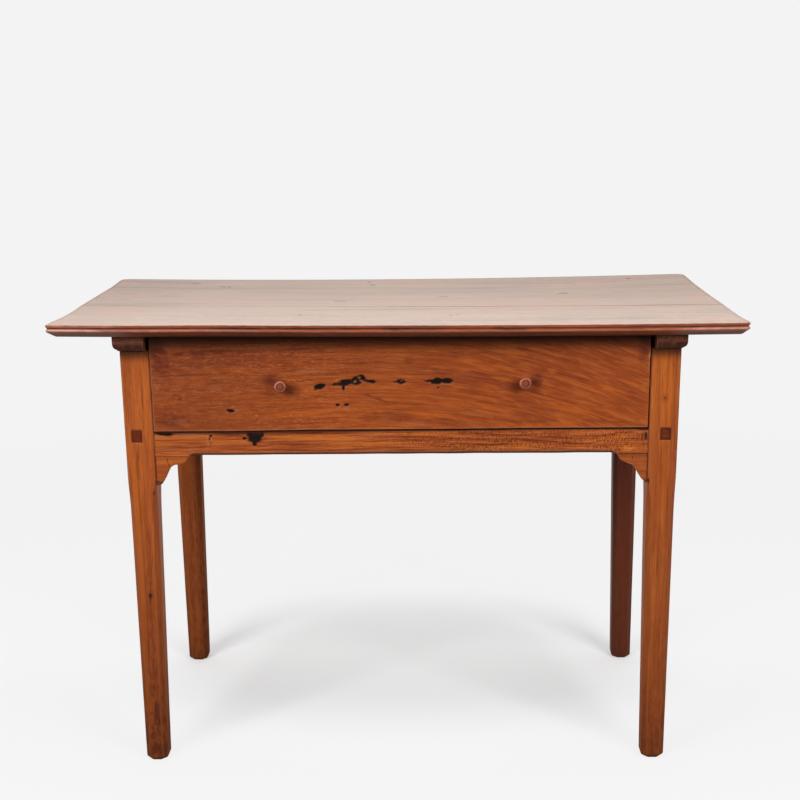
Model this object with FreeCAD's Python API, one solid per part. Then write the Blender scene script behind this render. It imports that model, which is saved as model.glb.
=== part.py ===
import FreeCAD, Part
import os
from FreeCAD import Vector

# Tavern table: a moulded two-board top on cleats, over a tapered-leg frame that holds one long drawer.
# Millimetres. +Z is up, the drawer front faces -Y, and the origin lies on the floor under the middle.

# ---------------------------------------------------------------- driving dimensions

TOP_LENGTH = 1070.0
TOP_WIDTH = 516.0
TOP_THICKNESS = 20.0
TOP_MIDDLE_HEIGHT = 743.3

# The right end is sawn a little aslant. Each value is how far it stops short of the full length.
RIGHT_END_FRONT_TRIM = 2.0
RIGHT_END_BACK_TRIM = 10.0

# The old boards have cupped and twisted. Each value is a rise of the surface in mm, seen at an edge.
CUP = 3.0
FALL_TO_BACK = 2.5
BOW = 4.1
BOW_GROWTH = 1.2
TILT = 0.8
TWIST = 1.6

# The joint between the boards runs aslant, because the boards taper.
BOARD_JOINT_OFFSET = -57.0
BOARD_JOINT_SLOPE = -0.035

# Edge moulding, from the top down: a flat lip, a quirk, a bead and a long chamfer to the underside.
ARRIS = 0.7
LIP_DEPTH = 4.6
QUIRK_INSET = 2.2
QUIRK_TOP = 5.2
QUIRK_BOTTOM = 6.4
BEAD_SHOULDER_INSET = 0.7
BEAD_SHOULDER = 7.2
BEAD_CROWN = 9.4
BEAD_FOOT_INSET = 1.0
BEAD_FOOT = 11.8
UNDERSIDE_INSET = 12.0

BASE_LENGTH = 871.0
BASE_WIDTH = 432.0

LEG_HEIGHT = 703.0
LEG_TOP_WIDTH = 45.5
LEG_FOOT_WIDTH = 37.0
LEG_TAPER_START = 533.0
LEG_CHAMFER = 8.0
LEG_CHAMFER_TOP = 505.0
LEG_CHAMFER_STOP = 65.0
FOOT_EASE = 5.0
FOOT_EASE_HEIGHT = 8.0
LEG_TENON_WIDTH = 24.0
LEG_TENON_HEIGHT = 18.0

# How far each foot has moved along X since the table was made, by depth and side.
FOOT_LEANS = {
    ("front", "left"): -0.7,
    ("front", "right"): 0.6,
    ("back", "left"): 1.5,
    ("back", "right"): 3.0,
}

CLEAT_INNER_X = 396.0
CLEAT_OUTER_X = 444.0
CLEAT_END_OVERHANG = 8.0
CLEAT_OUTER_ROUND = 11.0
CLEAT_END_ROUND = 9.0
CLEAT_TO_TOP_GAP = 0.4

APRON_THICKNESS = 22.0
APRON_SETBACK = 8.0
APRON_BOTTOM = 545.0
APRON_TENON_THICKNESS = 16.0
THROUGH_TENON_BOTTOM = 556.7
THROUGH_TENON_HEIGHT = 18.6
SIDE_TENON_BOTTOM = 640.0
SIDE_TENON_HEIGHT = 55.0
BACK_TENON_BOTTOM = 582.0
BACK_TENON_HEIGHT = 50.0
BLIND_TENON_LENGTH = 34.0

RAIL_BOTTOM = 533.0
RAIL_TOP = 573.4
RAIL_THICKNESS = 24.0
RAIL_SETBACK = 1.5
RAIL_TENON_BOTTOM = 539.0
RAIL_TENON_HEIGHT = 16.0
RAIL_TENON_THICKNESS = 10.0
RAIL_CHAMFER = 6.9
RAIL_CHAMFER_END_X = 328.0
RAIL_CHAMFER_RUN = 12.0

PATCH_INNER_X = 302.0
PATCH_BOTTOM = 546.0
PATCH_TOP = 568.5
PATCH_DEPTH = 6.0

BRACKET_THICKNESS = 20.0
BRACKET_SETBACK = 1.0
BRACKET_TIP_Z = 484.6

# The brackets' shaped edges from the rail to the tip, as x and z: a round lobe, a flat and a hollow.
BRACKET_EDGES = {
    "left": ((338.5, 533.0), (340.0, 528.2), (343.5, 522.6), (350.0, 519.4), (360.0, 518.3),
             (366.0, 514.6), (371.5, 505.8), (377.0, 493.9), (381.0, 487.2), (385.0, 485.0)),
    "right": ((343.5, 533.0), (344.3, 528.0), (348.2, 522.9), (356.0, 518.8), (366.0, 515.4),
              (370.8, 510.2), (375.3, 500.8), (381.0, 492.2), (387.0, 486.4)),
}

RUNNER_INNER_X = 362.0
RUNNER_HEIGHT = 22.0
RUNNER_TENON_LENGTH = 8.0
RUNNER_SHOULDER = 4.0
GUIDE_HEIGHT = 20.0
STOP_WIDTH = 20.0
STOP_HEIGHT = 20.0
STOP_INSET = 4.0
STOP_CLEARANCE = 0.3

DRAWER_HALF_WIDTH = 389.0
DRAWER_FRONT_THICKNESS = 20.0
DRAWER_FRONT_BOTTOM = 574.9
DRAWER_FRONT_TOP = 726.2
DRAWER_BACK_Y = 165.0
DRAWER_SIDE_THICKNESS = 13.0
DRAWER_SIDE_BOTTOM = 573.7
DRAWER_SIDE_TOP = 716.0
DRAWER_BACK_THICKNESS = 14.0
DRAWER_BACK_TOP = 710.0
DRAWER_BOTTOM_Z = 587.0
DRAWER_BOTTOM_THICKNESS = 8.0
DRAWER_GROOVE_DEPTH = 6.0
DRAWER_BOTTOM_JOINT_Y = -15.0
DOVETAIL_LENGTH = 14.0
DOVETAIL_NARROW = 26.0
DOVETAIL_WIDE = 33.0
FRONT_DOVETAIL_HEIGHTS = (597.0, 645.5, 694.0)
BACK_DOVETAIL_HEIGHTS = (626.0, 680.0)

# Centres of the knobs, as x and z.
KNOB_CENTRES = {"left": (-186.4, 648.5), "right": (192.0, 652.0)}
KNOB_RADIUS = 9.3
KNOB_LENGTH = 19.0
KNOB_NECK_RADIUS = 5.6
KNOB_NECK_LENGTH = 5.7
KNOB_RIM_LENGTH = 7.6
KNOB_RIM_ROUND = 2.2
KNOB_SHANK_RADIUS = 4.4
KNOB_HOLE_CLEARANCE = 0.1

PEG_RADIUS = 3.6
PEG_END_COVER = 10.0
CLEAT_PEG_RISE = 10.8
NAIL_SHANK = 3.2
NAIL_HEAD = 8.0
NAIL_HEAD_THICKNESS = 1.6
TOP_NAIL_LENGTH = 36.0
TOP_NAIL_X = 432.0
TOP_NAIL_ROWS = (-150.0, -85.0, 40.0, 150.0)
GUIDE_NAIL_LENGTH = 28.0
GUIDE_NAIL_ROWS = (-120.0, 0.0, 120.0)
BOTTOM_NAIL_LENGTH = 30.0
BOTTOM_NAIL_COLUMNS = (-280.0, -95.0, 95.0, 280.0)
BRAD_SHANK = 2.2
BRAD_DEPTH_IN_RAIL = 10.0
BRADS = ((352.0, 525.0), (380.0, 503.0))

# ---------------------------------------------------------------- places that follow from them

TOP_HALF_LENGTH = TOP_LENGTH / 2
TOP_HALF_WIDTH = TOP_WIDTH / 2
BASE_X = BASE_LENGTH / 2
BASE_Y = BASE_WIDTH / 2
LEG_INNER_X = BASE_X - LEG_TOP_WIDTH
LEG_INNER_Y = BASE_Y - LEG_TOP_WIDTH
LEG_MIDDLE_X = BASE_X - LEG_TOP_WIDTH / 2
LEG_MIDDLE_Y = BASE_Y - LEG_TOP_WIDTH / 2
SIDE_APRON_OUTER_X = BASE_X - APRON_SETBACK
SIDE_APRON_INNER_X = SIDE_APRON_OUTER_X - APRON_THICKNESS
SIDE_APRON_MIDDLE_X = SIDE_APRON_OUTER_X - APRON_THICKNESS / 2
BACK_APRON_OUTER_Y = BASE_Y - APRON_SETBACK
BACK_APRON_INNER_Y = BACK_APRON_OUTER_Y - APRON_THICKNESS
BACK_APRON_MIDDLE_Y = BACK_APRON_OUTER_Y - APRON_THICKNESS / 2
RAIL_FRONT_Y = -BASE_Y + RAIL_SETBACK
RAIL_BACK_Y = RAIL_FRONT_Y + RAIL_THICKNESS
RAIL_MIDDLE_Y = RAIL_FRONT_Y + RAIL_THICKNESS / 2
DRAWER_FACE_Y = RAIL_FRONT_Y
DRAWER_FRONT_BACK_Y = DRAWER_FACE_Y + DRAWER_FRONT_THICKNESS
DRAWER_SIDE_INNER_X = DRAWER_HALF_WIDTH - DRAWER_SIDE_THICKNESS
DRAWER_FLOOR_Z = DRAWER_BOTTOM_Z + DRAWER_BOTTOM_THICKNESS
MIRROR = {"left": -1.0, "right": 1.0}
DEPTH = {"front": -1.0, "back": 1.0}


# ---------------------------------------------------------------- shape helpers

def box(x_pair, y_pair, z_pair):
    """A block between two corners, given as pairs of limits in any order."""
    low = Vector(min(x_pair), min(y_pair), min(z_pair))
    size = Vector(max(x_pair), max(y_pair), max(z_pair)) - low
    return Part.makeBox(size.x, size.y, size.z, low)


def cut_all(shape, tools):
    for tool in tools:
        shape = shape.cut(tool)
    return shape


def closed_solid(faces):
    """One solid from faces that share their edges."""
    shell = Part.makeShell(faces)
    shell.sewShape()
    solid = Part.makeSolid(shell)
    if solid.Volume < 0:
        solid.reverse()
    return solid


def stack(rings):
    """A solid with plane sides through a row of polygons of equal point count."""
    faces = [Part.Face(Part.makePolygon(ring + ring[:1])) for ring in (rings[0], rings[-1])]
    for lower, upper in zip(rings, rings[1:]):
        for here in range(len(lower)):
            there = (here + 1) % len(lower)
            side = [lower[here], lower[there], upper[there], upper[here], lower[here]]
            faces.append(Part.Face(Part.makePolygon(side)))
    return closed_solid(faces)


def cubic_poles(values):
    """Bezier poles of the cubic through four values at equal steps."""
    a, b, c, d = values
    return [a, (b * 18 - a * 5 - c * 9 + d * 2) / 6, (a * 2 - b * 9 + c * 18 - d * 5) / 6, d]


def between(start, end, share):
    return start + (end - start) * share


def surface_height(x, y):
    """Height of the top's upper surface above the floor."""
    s = x / TOP_HALF_LENGTH
    t = y / TOP_HALF_WIDTH
    across = CUP * t ** 2 - FALL_TO_BACK * t
    along = (BOW + BOW_GROWTH * t) * s ** 2 + (TILT + TWIST * t) * s
    return TOP_MIDDLE_HEIGHT + across + along


def warped_point(corner):
    """Corner holds x, y and the distance below the top's surface."""
    return Vector(corner.x, corner.y, surface_height(corner.x, corner.y) - corner.z)


def warped_patch(a, b, c, d):
    """Face between four corners that follows the top's warp exactly."""
    rows = []
    for i in range(4):
        start = between(a, d, i / 3)
        end = between(b, c, i / 3)
        rows.append(cubic_poles([warped_point(between(start, end, j / 3)) for j in range(4)]))
    columns = [cubic_poles([row[j] for row in rows]) for j in range(4)]
    surface = Part.BezierSurface()
    surface.increase(3, 3)
    for j in range(4):
        for i in range(4):
            surface.setPole(i + 1, j + 1, columns[j][i])
    return surface.toShape()


def warped_solid(rings):
    """A solid through rings of four corners, each corner measured down from the top's surface."""
    faces = [warped_patch(*rings[0]), warped_patch(*rings[-1])]
    for upper, lower in zip(rings, rings[1:]):
        for here in range(4):
            there = (here + 1) % 4
            faces.append(warped_patch(upper[here], upper[there], lower[there], lower[here]))
    return closed_solid(faces)


def nail(point, direction, length):
    """Square nail whose head's outer face is at the point, driven along a row axis."""
    def bar(width, start, end):
        sides = []
        for axis in range(3):
            along = direction[axis]
            limits = (along * start, along * end) if along else (-width / 2, width / 2)
            sides.append([point[axis] + value for value in limits])
        return box(*sides)
    return bar(NAIL_HEAD, 0, NAIL_HEAD_THICKNESS).fuse(bar(NAIL_SHANK, NAIL_HEAD_THICKNESS, length))


def peg(point, direction, length):
    """Whittled eight-sided peg."""
    peg_shape = Part.Face(Part.makePolygon(octagon(PEG_RADIUS))).extrude(Vector(0, 0, length))
    peg_shape.Placement = FreeCAD.Placement(point, FreeCAD.Rotation(Vector(0, 0, 1), direction))
    return peg_shape


def octagon(radius):
    corners = []
    for step in range(8):
        turn = FreeCAD.Rotation(Vector(0, 0, 1), 45.0 * step + 22.5)
        corners.append(turn.multVec(Vector(radius, 0, 0)))
    return corners + corners[:1]


# ---------------------------------------------------------------- top boards

def board_joint_y(x):
    return BOARD_JOINT_OFFSET + BOARD_JOINT_SLOPE * x


def edge_profile():
    """Inset and depth of each line of the edge moulding, from the top surface to the underside."""
    return [
        (ARRIS, 0.0),
        (0.0, ARRIS),
        (0.0, LIP_DEPTH),
        (QUIRK_INSET, QUIRK_TOP),
        (QUIRK_INSET, QUIRK_BOTTOM),
        (BEAD_SHOULDER_INSET, BEAD_SHOULDER),
        (0.0, BEAD_CROWN),
        (BEAD_FOOT_INSET, BEAD_FOOT),
        (UNDERSIDE_INSET, TOP_THICKNESS),
    ]


def right_end_x(y):
    share = (y + TOP_HALF_WIDTH) / TOP_WIDTH
    return TOP_HALF_LENGTH - between(RIGHT_END_FRONT_TRIM, RIGHT_END_BACK_TRIM, share)


def top_board(depth):
    """One board, moulded on its outer edge and both ends, with a plain joint edge."""
    rings = []
    for inset, below in edge_profile():
        left_x = inset - TOP_HALF_LENGTH
        outer_y = DEPTH[depth] * (TOP_HALF_WIDTH - inset)
        joint_x = right_end_x(BOARD_JOINT_OFFSET) - inset
        rings.append([
            Vector(left_x, outer_y, below),
            Vector(right_end_x(outer_y) - inset, outer_y, below),
            Vector(joint_x, board_joint_y(joint_x), below),
            Vector(left_x, board_joint_y(left_x), below),
        ])
    return warped_solid(rings)


def top_nails():
    nails = []
    for side in MIRROR.values():
        for y in TOP_NAIL_ROWS:
            x = side * TOP_NAIL_X
            head = Vector(x, y, surface_height(x, y) - NAIL_HEAD_THICKNESS / 2)
            nails.append(nail(head, Vector(0, 0, -1), TOP_NAIL_LENGTH))
    return nails


def nail_sinkings(nails):
    """Open recesses over the nail heads, up past the board's surface."""
    recesses = []
    for driven in nails:
        bounds = driven.BoundBox
        recesses.append(box((bounds.XMin, bounds.XMax), (bounds.YMin, bounds.YMax),
                            (bounds.ZMax - NAIL_HEAD_THICKNESS, bounds.ZMax + NAIL_HEAD)))
    return recesses


# ---------------------------------------------------------------- cleats

def cleat(side):
    """Batten on the leg tops, rounded on its lower outer edge and ends, fitted to the warped top."""
    end_y = BASE_Y + CLEAT_END_OVERHANG
    blank_top = TOP_MIDDLE_HEIGHT + TOP_THICKNESS
    blank = box((CLEAT_INNER_X, CLEAT_OUTER_X), (-end_y, end_y), (LEG_HEIGHT, blank_top))
    outer_edge = [edge for edge in blank.Edges
                  if edge.BoundBox.ZMax < LEG_HEIGHT + 1 and edge.BoundBox.XMin > CLEAT_OUTER_X - 1]
    blank = blank.makeFillet(CLEAT_OUTER_ROUND, outer_edge)
    end_edges = [edge for edge in blank.Edges
                 if edge.BoundBox.YLength < 1 and edge.BoundBox.ZMax < LEG_HEIGHT + 1]
    blank = blank.makeFillet(CLEAT_END_ROUND, end_edges)
    if side < 0:
        blank = blank.mirror(Vector(0, 0, 0), Vector(1, 0, 0))
    margin = 10.0
    rings = []
    for below in (-TOP_THICKNESS, TOP_THICKNESS + CLEAT_TO_TOP_GAP):
        corners = [(CLEAT_INNER_X - margin, -end_y - margin), (CLEAT_OUTER_X + margin, -end_y - margin),
                   (CLEAT_OUTER_X + margin, end_y + margin), (CLEAT_INNER_X - margin, end_y + margin)]
        rings.append([Vector(side * x, y, below) for x, y in corners])
    return blank.cut(warped_solid(rings))


# ---------------------------------------------------------------- legs

def leg_width(z):
    """Full width down to the start of the taper, then straight-tapered to the floor."""
    share = min(z, LEG_TAPER_START) / LEG_TAPER_START
    return between(LEG_FOOT_WIDTH, LEG_TOP_WIDTH, share)


def leg_lean(side, depth, z):
    """Sideways shift of a leg's section, from nothing at the start of the taper."""
    depth_name = "front" if depth < 0 else "back"
    side_name = "left" if side < 0 else "right"
    return FOOT_LEANS[depth_name, side_name] * (1 - min(z, LEG_TAPER_START) / LEG_TAPER_START)


def leg_ring(side, depth, z, inset):
    width = leg_width(z)
    lean = leg_lean(side, depth, z)
    near = inset
    far = width - inset
    offsets = [(near, near), (far, near), (far, far), (near, far)]
    return [Vector(side * (BASE_X - u) + lean, depth * (BASE_Y - v), z) for u, v in offsets]


def leg_chamfer_tool(side, depth, inner_x, inner_y):
    """Cuts one long corner from the foot up to a long sloping stop."""
    overshoot = 6.0
    stop_start = LEG_CHAMFER_TOP - LEG_CHAMFER_STOP
    slope = LEG_CHAMFER / LEG_CHAMFER_STOP
    levels = [(-1.0, LEG_CHAMFER), (stop_start, LEG_CHAMFER),
              (LEG_CHAMFER_TOP + overshoot, -overshoot * slope)]
    rings = []
    for z, chamfer in levels:
        width = leg_width(z)
        lean = leg_lean(side, depth, z)
        u = width if inner_x else 0.0
        v = width if inner_y else 0.0
        u_in = -1.0 if inner_x else 1.0
        v_in = -1.0 if inner_y else 1.0
        outward = 5.0
        reach = chamfer + outward
        points = [(u - u_in * outward, v - v_in * outward), (u + u_in * reach, v - v_in * outward),
                  (u - u_in * outward, v + v_in * reach)]
        rings.append([Vector(side * (BASE_X - a) + lean, depth * (BASE_Y - b), z) for a, b in points])
    return stack(rings)


def leg_blank(side, depth):
    levels = [(0.0, FOOT_EASE), (FOOT_EASE_HEIGHT, 0.0), (LEG_TAPER_START, 0.0), (LEG_HEIGHT, 0.0)]
    shape = stack([leg_ring(side, depth, z, inset) for z, inset in levels])
    for inner_x in (False, True):
        for inner_y in (False, True):
            shape = shape.cut(leg_chamfer_tool(side, depth, inner_x, inner_y))
    return shape.fuse(leg_tenon(side, depth))


def leg_tenon(side, depth):
    half = LEG_TENON_WIDTH / 2
    x = side * LEG_MIDDLE_X
    y = depth * LEG_MIDDLE_Y
    return box((x - half, x + half), (y - half, y + half), (LEG_HEIGHT, LEG_HEIGHT + LEG_TENON_HEIGHT))


# ---------------------------------------------------------------- aprons, rail and brackets

def side_apron(side):
    """Board between the legs of one end, with an upper blind tenon and a lower through tenon."""
    board = box((side * SIDE_APRON_INNER_X, side * SIDE_APRON_OUTER_X), (-LEG_INNER_Y, LEG_INNER_Y),
                (APRON_BOTTOM, LEG_HEIGHT))
    half = APRON_TENON_THICKNESS / 2
    x_pair = (side * (SIDE_APRON_MIDDLE_X - half), side * (SIDE_APRON_MIDDLE_X + half))
    blind_y = LEG_INNER_Y + BLIND_TENON_LENGTH
    through = box(x_pair, (-BASE_Y, BASE_Y),
                  (THROUGH_TENON_BOTTOM, THROUGH_TENON_BOTTOM + THROUGH_TENON_HEIGHT))
    blind = box(x_pair, (-blind_y, blind_y), (SIDE_TENON_BOTTOM, SIDE_TENON_BOTTOM + SIDE_TENON_HEIGHT))
    return board.fuse([through, blind]).removeSplitter()


def back_apron():
    board = box((-LEG_INNER_X, LEG_INNER_X), (BACK_APRON_INNER_Y, BACK_APRON_OUTER_Y),
                (APRON_BOTTOM, LEG_HEIGHT))
    half = APRON_TENON_THICKNESS / 2
    reach = LEG_INNER_X + BLIND_TENON_LENGTH
    tenon = box((-reach, reach), (BACK_APRON_MIDDLE_Y - half, BACK_APRON_MIDDLE_Y + half),
                (BACK_TENON_BOTTOM, BACK_TENON_BOTTOM + BACK_TENON_HEIGHT))
    return board.fuse(tenon).removeSplitter()


def rail_chamfer_tool():
    """Takes the lower front arris off the rail and runs out before each bracket."""
    overshoot = 0.4
    run_out = RAIL_CHAMFER_END_X + RAIL_CHAMFER_RUN * (1 + overshoot)
    stations = [(-run_out, -RAIL_CHAMFER * overshoot), (-RAIL_CHAMFER_END_X, RAIL_CHAMFER),
                (RAIL_CHAMFER_END_X, RAIL_CHAMFER), (run_out, -RAIL_CHAMFER * overshoot)]
    outward = 3.0
    rings = []
    for x, chamfer in stations:
        reach = chamfer + outward
        points = [(-outward, -outward), (reach, -outward), (-outward, reach)]
        rings.append([Vector(x, RAIL_FRONT_Y + b, RAIL_BOTTOM + c) for b, c in points])
    return stack(rings)


def front_rail():
    board = box((-LEG_INNER_X, LEG_INNER_X), (RAIL_FRONT_Y, RAIL_BACK_Y), (RAIL_BOTTOM, RAIL_TOP))
    half = RAIL_TENON_THICKNESS / 2
    reach = LEG_INNER_X + BLIND_TENON_LENGTH
    tenon = box((-reach, reach), (RAIL_MIDDLE_Y - half, RAIL_MIDDLE_Y + half),
                (RAIL_TENON_BOTTOM, RAIL_TENON_BOTTOM + RAIL_TENON_HEIGHT))
    return board.fuse(tenon).removeSplitter().cut(rail_chamfer_tool())


def rail_patch():
    """Old repair let into the face of the rail at its left end."""
    return box((-LEG_INNER_X, -PATCH_INNER_X), (RAIL_FRONT_Y, RAIL_FRONT_Y + PATCH_DEPTH),
               (PATCH_BOTTOM, PATCH_TOP))


def bracket(name):
    """Shaped bracket in the corner under the rail. Its straight side follows the tapered leg."""
    side = MIRROR[name]
    face_y = RAIL_FRONT_Y + BRACKET_SETBACK
    points = [Vector(side * x, face_y, z) for x, z in BRACKET_EDGES[name]]
    shaped_edge = Part.BSplineCurve()
    shaped_edge.interpolate(points)
    tip = Vector(side * (BASE_X - leg_width(BRACKET_TIP_Z)), face_y, BRACKET_TIP_Z)
    corner = Vector(side * LEG_INNER_X, face_y, RAIL_BOTTOM)
    edges = [
        shaped_edge.toShape(),
        Part.makeLine(points[-1], tip),
        Part.makeLine(tip, corner),
        Part.makeLine(corner, points[0]),
    ]
    return Part.Face(Part.Wire(edges)).extrude(Vector(0, BRACKET_THICKNESS, 0))


def bracket_brads():
    """Headless brads driven up through the brackets into the rail."""
    brads = []
    half = BRAD_SHANK / 2
    brad_y = RAIL_FRONT_Y + BRACKET_SETBACK + BRACKET_THICKNESS / 2
    for side in MIRROR.values():
        for x, bottom in BRADS:
            brads.append(box((side * x - half, side * x + half), (brad_y - half, brad_y + half),
                             (bottom, RAIL_BOTTOM + BRAD_DEPTH_IN_RAIL)))
    return brads


# ---------------------------------------------------------------- drawer runners, guides and stops

def drawer_runner(side):
    """Ledge that carries a drawer side, stub-tenoned into the front rail and the back apron."""
    z_pair = (RAIL_TOP - RUNNER_HEIGHT, RAIL_TOP)
    wide = box((side * RUNNER_INNER_X, side * LEG_INNER_X), (RAIL_BACK_Y, BACK_APRON_INNER_Y), z_pair)
    between_legs = box((side * LEG_INNER_X, side * SIDE_APRON_INNER_X), (-LEG_INNER_Y, LEG_INNER_Y), z_pair)
    tenon = box((side * (RUNNER_INNER_X + RUNNER_SHOULDER), side * (LEG_INNER_X - RUNNER_SHOULDER)),
                (RAIL_BACK_Y - RUNNER_TENON_LENGTH, BACK_APRON_INNER_Y + RUNNER_TENON_LENGTH),
                (RAIL_TOP - RUNNER_HEIGHT + RUNNER_SHOULDER, RAIL_TOP - RUNNER_SHOULDER))
    return wide.fuse([between_legs, tenon]).removeSplitter()


def drawer_guide(side):
    """Strip on the runner that keeps the drawer straight between the legs."""
    return box((side * LEG_INNER_X, side * SIDE_APRON_INNER_X), (-LEG_INNER_Y, LEG_INNER_Y),
               (RAIL_TOP, RAIL_TOP + GUIDE_HEIGHT))


def guide_nails():
    nails = []
    for side in MIRROR.values():
        for y in GUIDE_NAIL_ROWS:
            head = Vector(side * LEG_INNER_X, y, RAIL_TOP + GUIDE_HEIGHT / 2)
            nails.append(nail(head, Vector(side, 0, 0), GUIDE_NAIL_LENGTH))
    return nails


def drawer_stops():
    """Blocks on the runners that the back of the closed drawer meets."""
    stops = []
    for side in MIRROR.values():
        inner_x = RUNNER_INNER_X + STOP_INSET
        stops.append(box((side * inner_x, side * (inner_x + STOP_WIDTH)),
                         (DRAWER_BACK_Y + STOP_CLEARANCE, BACK_APRON_INNER_Y),
                         (RAIL_TOP, RAIL_TOP + STOP_HEIGHT)))
    return stops


# ---------------------------------------------------------------- drawer

def dovetail(side, base_y, tip_y, z):
    """One tail of a drawer side, widening from its base to its tip."""
    narrow = DOVETAIL_NARROW / 2
    wide = DOVETAIL_WIDE / 2
    outline = [(base_y, z - narrow), (tip_y, z - wide), (tip_y, z + wide), (base_y, z + narrow)]
    rings = []
    for x in (DRAWER_SIDE_INNER_X, DRAWER_HALF_WIDTH):
        rings.append([Vector(side * x, y, height) for y, height in outline])
    return stack(rings)


def front_dovetails():
    tip_y = DRAWER_FRONT_BACK_Y - DOVETAIL_LENGTH
    return [dovetail(side, DRAWER_FRONT_BACK_Y, tip_y, z)
            for side in MIRROR.values() for z in FRONT_DOVETAIL_HEIGHTS]


def back_dovetails():
    base_y = DRAWER_BACK_Y - DRAWER_BACK_THICKNESS
    return [dovetail(side, base_y, DRAWER_BACK_Y, z)
            for side in MIRROR.values() for z in BACK_DOVETAIL_HEIGHTS]


def drawer_bottom(y_pair):
    reach = DRAWER_SIDE_INNER_X + DRAWER_GROOVE_DEPTH
    return box((-reach, reach), y_pair, (DRAWER_BOTTOM_Z, DRAWER_FLOOR_Z))


def drawer_front(bottom):
    board = box((-DRAWER_HALF_WIDTH, DRAWER_HALF_WIDTH), (DRAWER_FACE_Y, DRAWER_FRONT_BACK_Y),
                (DRAWER_FRONT_BOTTOM, DRAWER_FRONT_TOP))
    holes = [knob_shank(name, KNOB_SHANK_RADIUS + KNOB_HOLE_CLEARANCE) for name in KNOB_CENTRES]
    return cut_all(board, front_dovetails() + holes + [bottom])


def drawer_back():
    board = box((-DRAWER_HALF_WIDTH, DRAWER_HALF_WIDTH),
                (DRAWER_BACK_Y - DRAWER_BACK_THICKNESS, DRAWER_BACK_Y), (DRAWER_FLOOR_Z, DRAWER_BACK_TOP))
    return cut_all(board, back_dovetails())


def drawer_side(side, front, back, bottoms):
    """Side with half-blind tails in the front, through tails in the back and a groove for the bottom."""
    tip_y = DRAWER_FRONT_BACK_Y - DOVETAIL_LENGTH
    x_pair = (side * DRAWER_SIDE_INNER_X, side * DRAWER_HALF_WIDTH)
    board = box(x_pair, (tip_y, DRAWER_BACK_Y), (DRAWER_SIDE_BOTTOM, DRAWER_SIDE_TOP))
    under_front = box(x_pair, (tip_y, DRAWER_FRONT_BACK_Y), (DRAWER_SIDE_BOTTOM, DRAWER_FRONT_BOTTOM))
    return cut_all(board, [under_front, front, back] + bottoms)


def bottom_nails():
    nails = []
    for x in BOTTOM_NAIL_COLUMNS:
        head = Vector(x, DRAWER_BACK_Y - DRAWER_BACK_THICKNESS / 2, DRAWER_BOTTOM_Z)
        nails.append(nail(head, Vector(0, 0, 1), BOTTOM_NAIL_LENGTH))
    return nails


def knob_shank(name, radius):
    """Round stem of a knob, through the thickness of the drawer front."""
    centre_x, centre_z = KNOB_CENTRES[name]
    start = Vector(centre_x, DRAWER_FACE_Y, centre_z)
    return Part.makeCylinder(radius, DRAWER_FRONT_THICKNESS, start, Vector(0, 1, 0))


def knob(name):
    """Turned knob: a narrow neck that swells to a rounded rim and a flat face."""
    centre_x, centre_z = KNOB_CENTRES[name]
    face_y = DRAWER_FACE_Y - KNOB_LENGTH

    def at(radius, y):
        return Vector(centre_x + radius, y, centre_z)
    neck_end_y = DRAWER_FACE_Y - KNOB_NECK_LENGTH
    rim_back_y = face_y + KNOB_RIM_LENGTH
    rim_front_y = face_y + KNOB_RIM_ROUND
    diagonal = KNOB_RIM_ROUND * (1 - 0.5 ** 0.5)
    edges = [
        Part.makeLine(at(0, DRAWER_FACE_Y), at(KNOB_NECK_RADIUS, DRAWER_FACE_Y)),
        Part.makeLine(at(KNOB_NECK_RADIUS, DRAWER_FACE_Y), at(KNOB_NECK_RADIUS, neck_end_y)),
        Part.makeLine(at(KNOB_NECK_RADIUS, neck_end_y), at(KNOB_RADIUS, rim_back_y)),
        Part.makeLine(at(KNOB_RADIUS, rim_back_y), at(KNOB_RADIUS, rim_front_y)),
        Part.Arc(at(KNOB_RADIUS, rim_front_y), at(KNOB_RADIUS - diagonal, face_y + diagonal),
                 at(KNOB_RADIUS - KNOB_RIM_ROUND, face_y)).toShape(),
        Part.makeLine(at(KNOB_RADIUS - KNOB_RIM_ROUND, face_y), at(0, face_y)),
        Part.makeLine(at(0, face_y), at(0, DRAWER_FACE_Y)),
    ]
    outline = Part.Face(Part.Wire(edges))
    head = outline.revolve(Vector(centre_x, 0, centre_z), Vector(0, 1, 0), 360)
    return head.fuse(knob_shank(name, KNOB_SHANK_RADIUS)).removeSplitter()


# ---------------------------------------------------------------- pegs

def joint_pegs():
    """Pegs through the cleats and leg tenons, the side aprons' tenons and the back apron's tenons."""
    pegs = []
    side_peg_z = SIDE_TENON_BOTTOM + SIDE_TENON_HEIGHT / 2
    back_peg_z = BACK_TENON_BOTTOM + BACK_TENON_HEIGHT / 2
    cleat_peg_z = LEG_HEIGHT + CLEAT_PEG_RISE
    peg_length = LEG_TOP_WIDTH - PEG_END_COVER
    for side in MIRROR.values():
        inward = Vector(-side, 0, 0)
        for depth in DEPTH.values():
            y = depth * LEG_MIDDLE_Y
            pegs.append(peg(Vector(side * BASE_X, y, side_peg_z), inward, peg_length))
            pegs.append(peg(Vector(side * CLEAT_OUTER_X, y, cleat_peg_z), inward,
                            CLEAT_OUTER_X - CLEAT_INNER_X))
        back_x = side * (LEG_INNER_X + BLIND_TENON_LENGTH / 2)
        pegs.append(peg(Vector(back_x, BASE_Y, back_peg_z), Vector(0, -1, 0), peg_length))
    return pegs


# ---------------------------------------------------------------- assembly

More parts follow.
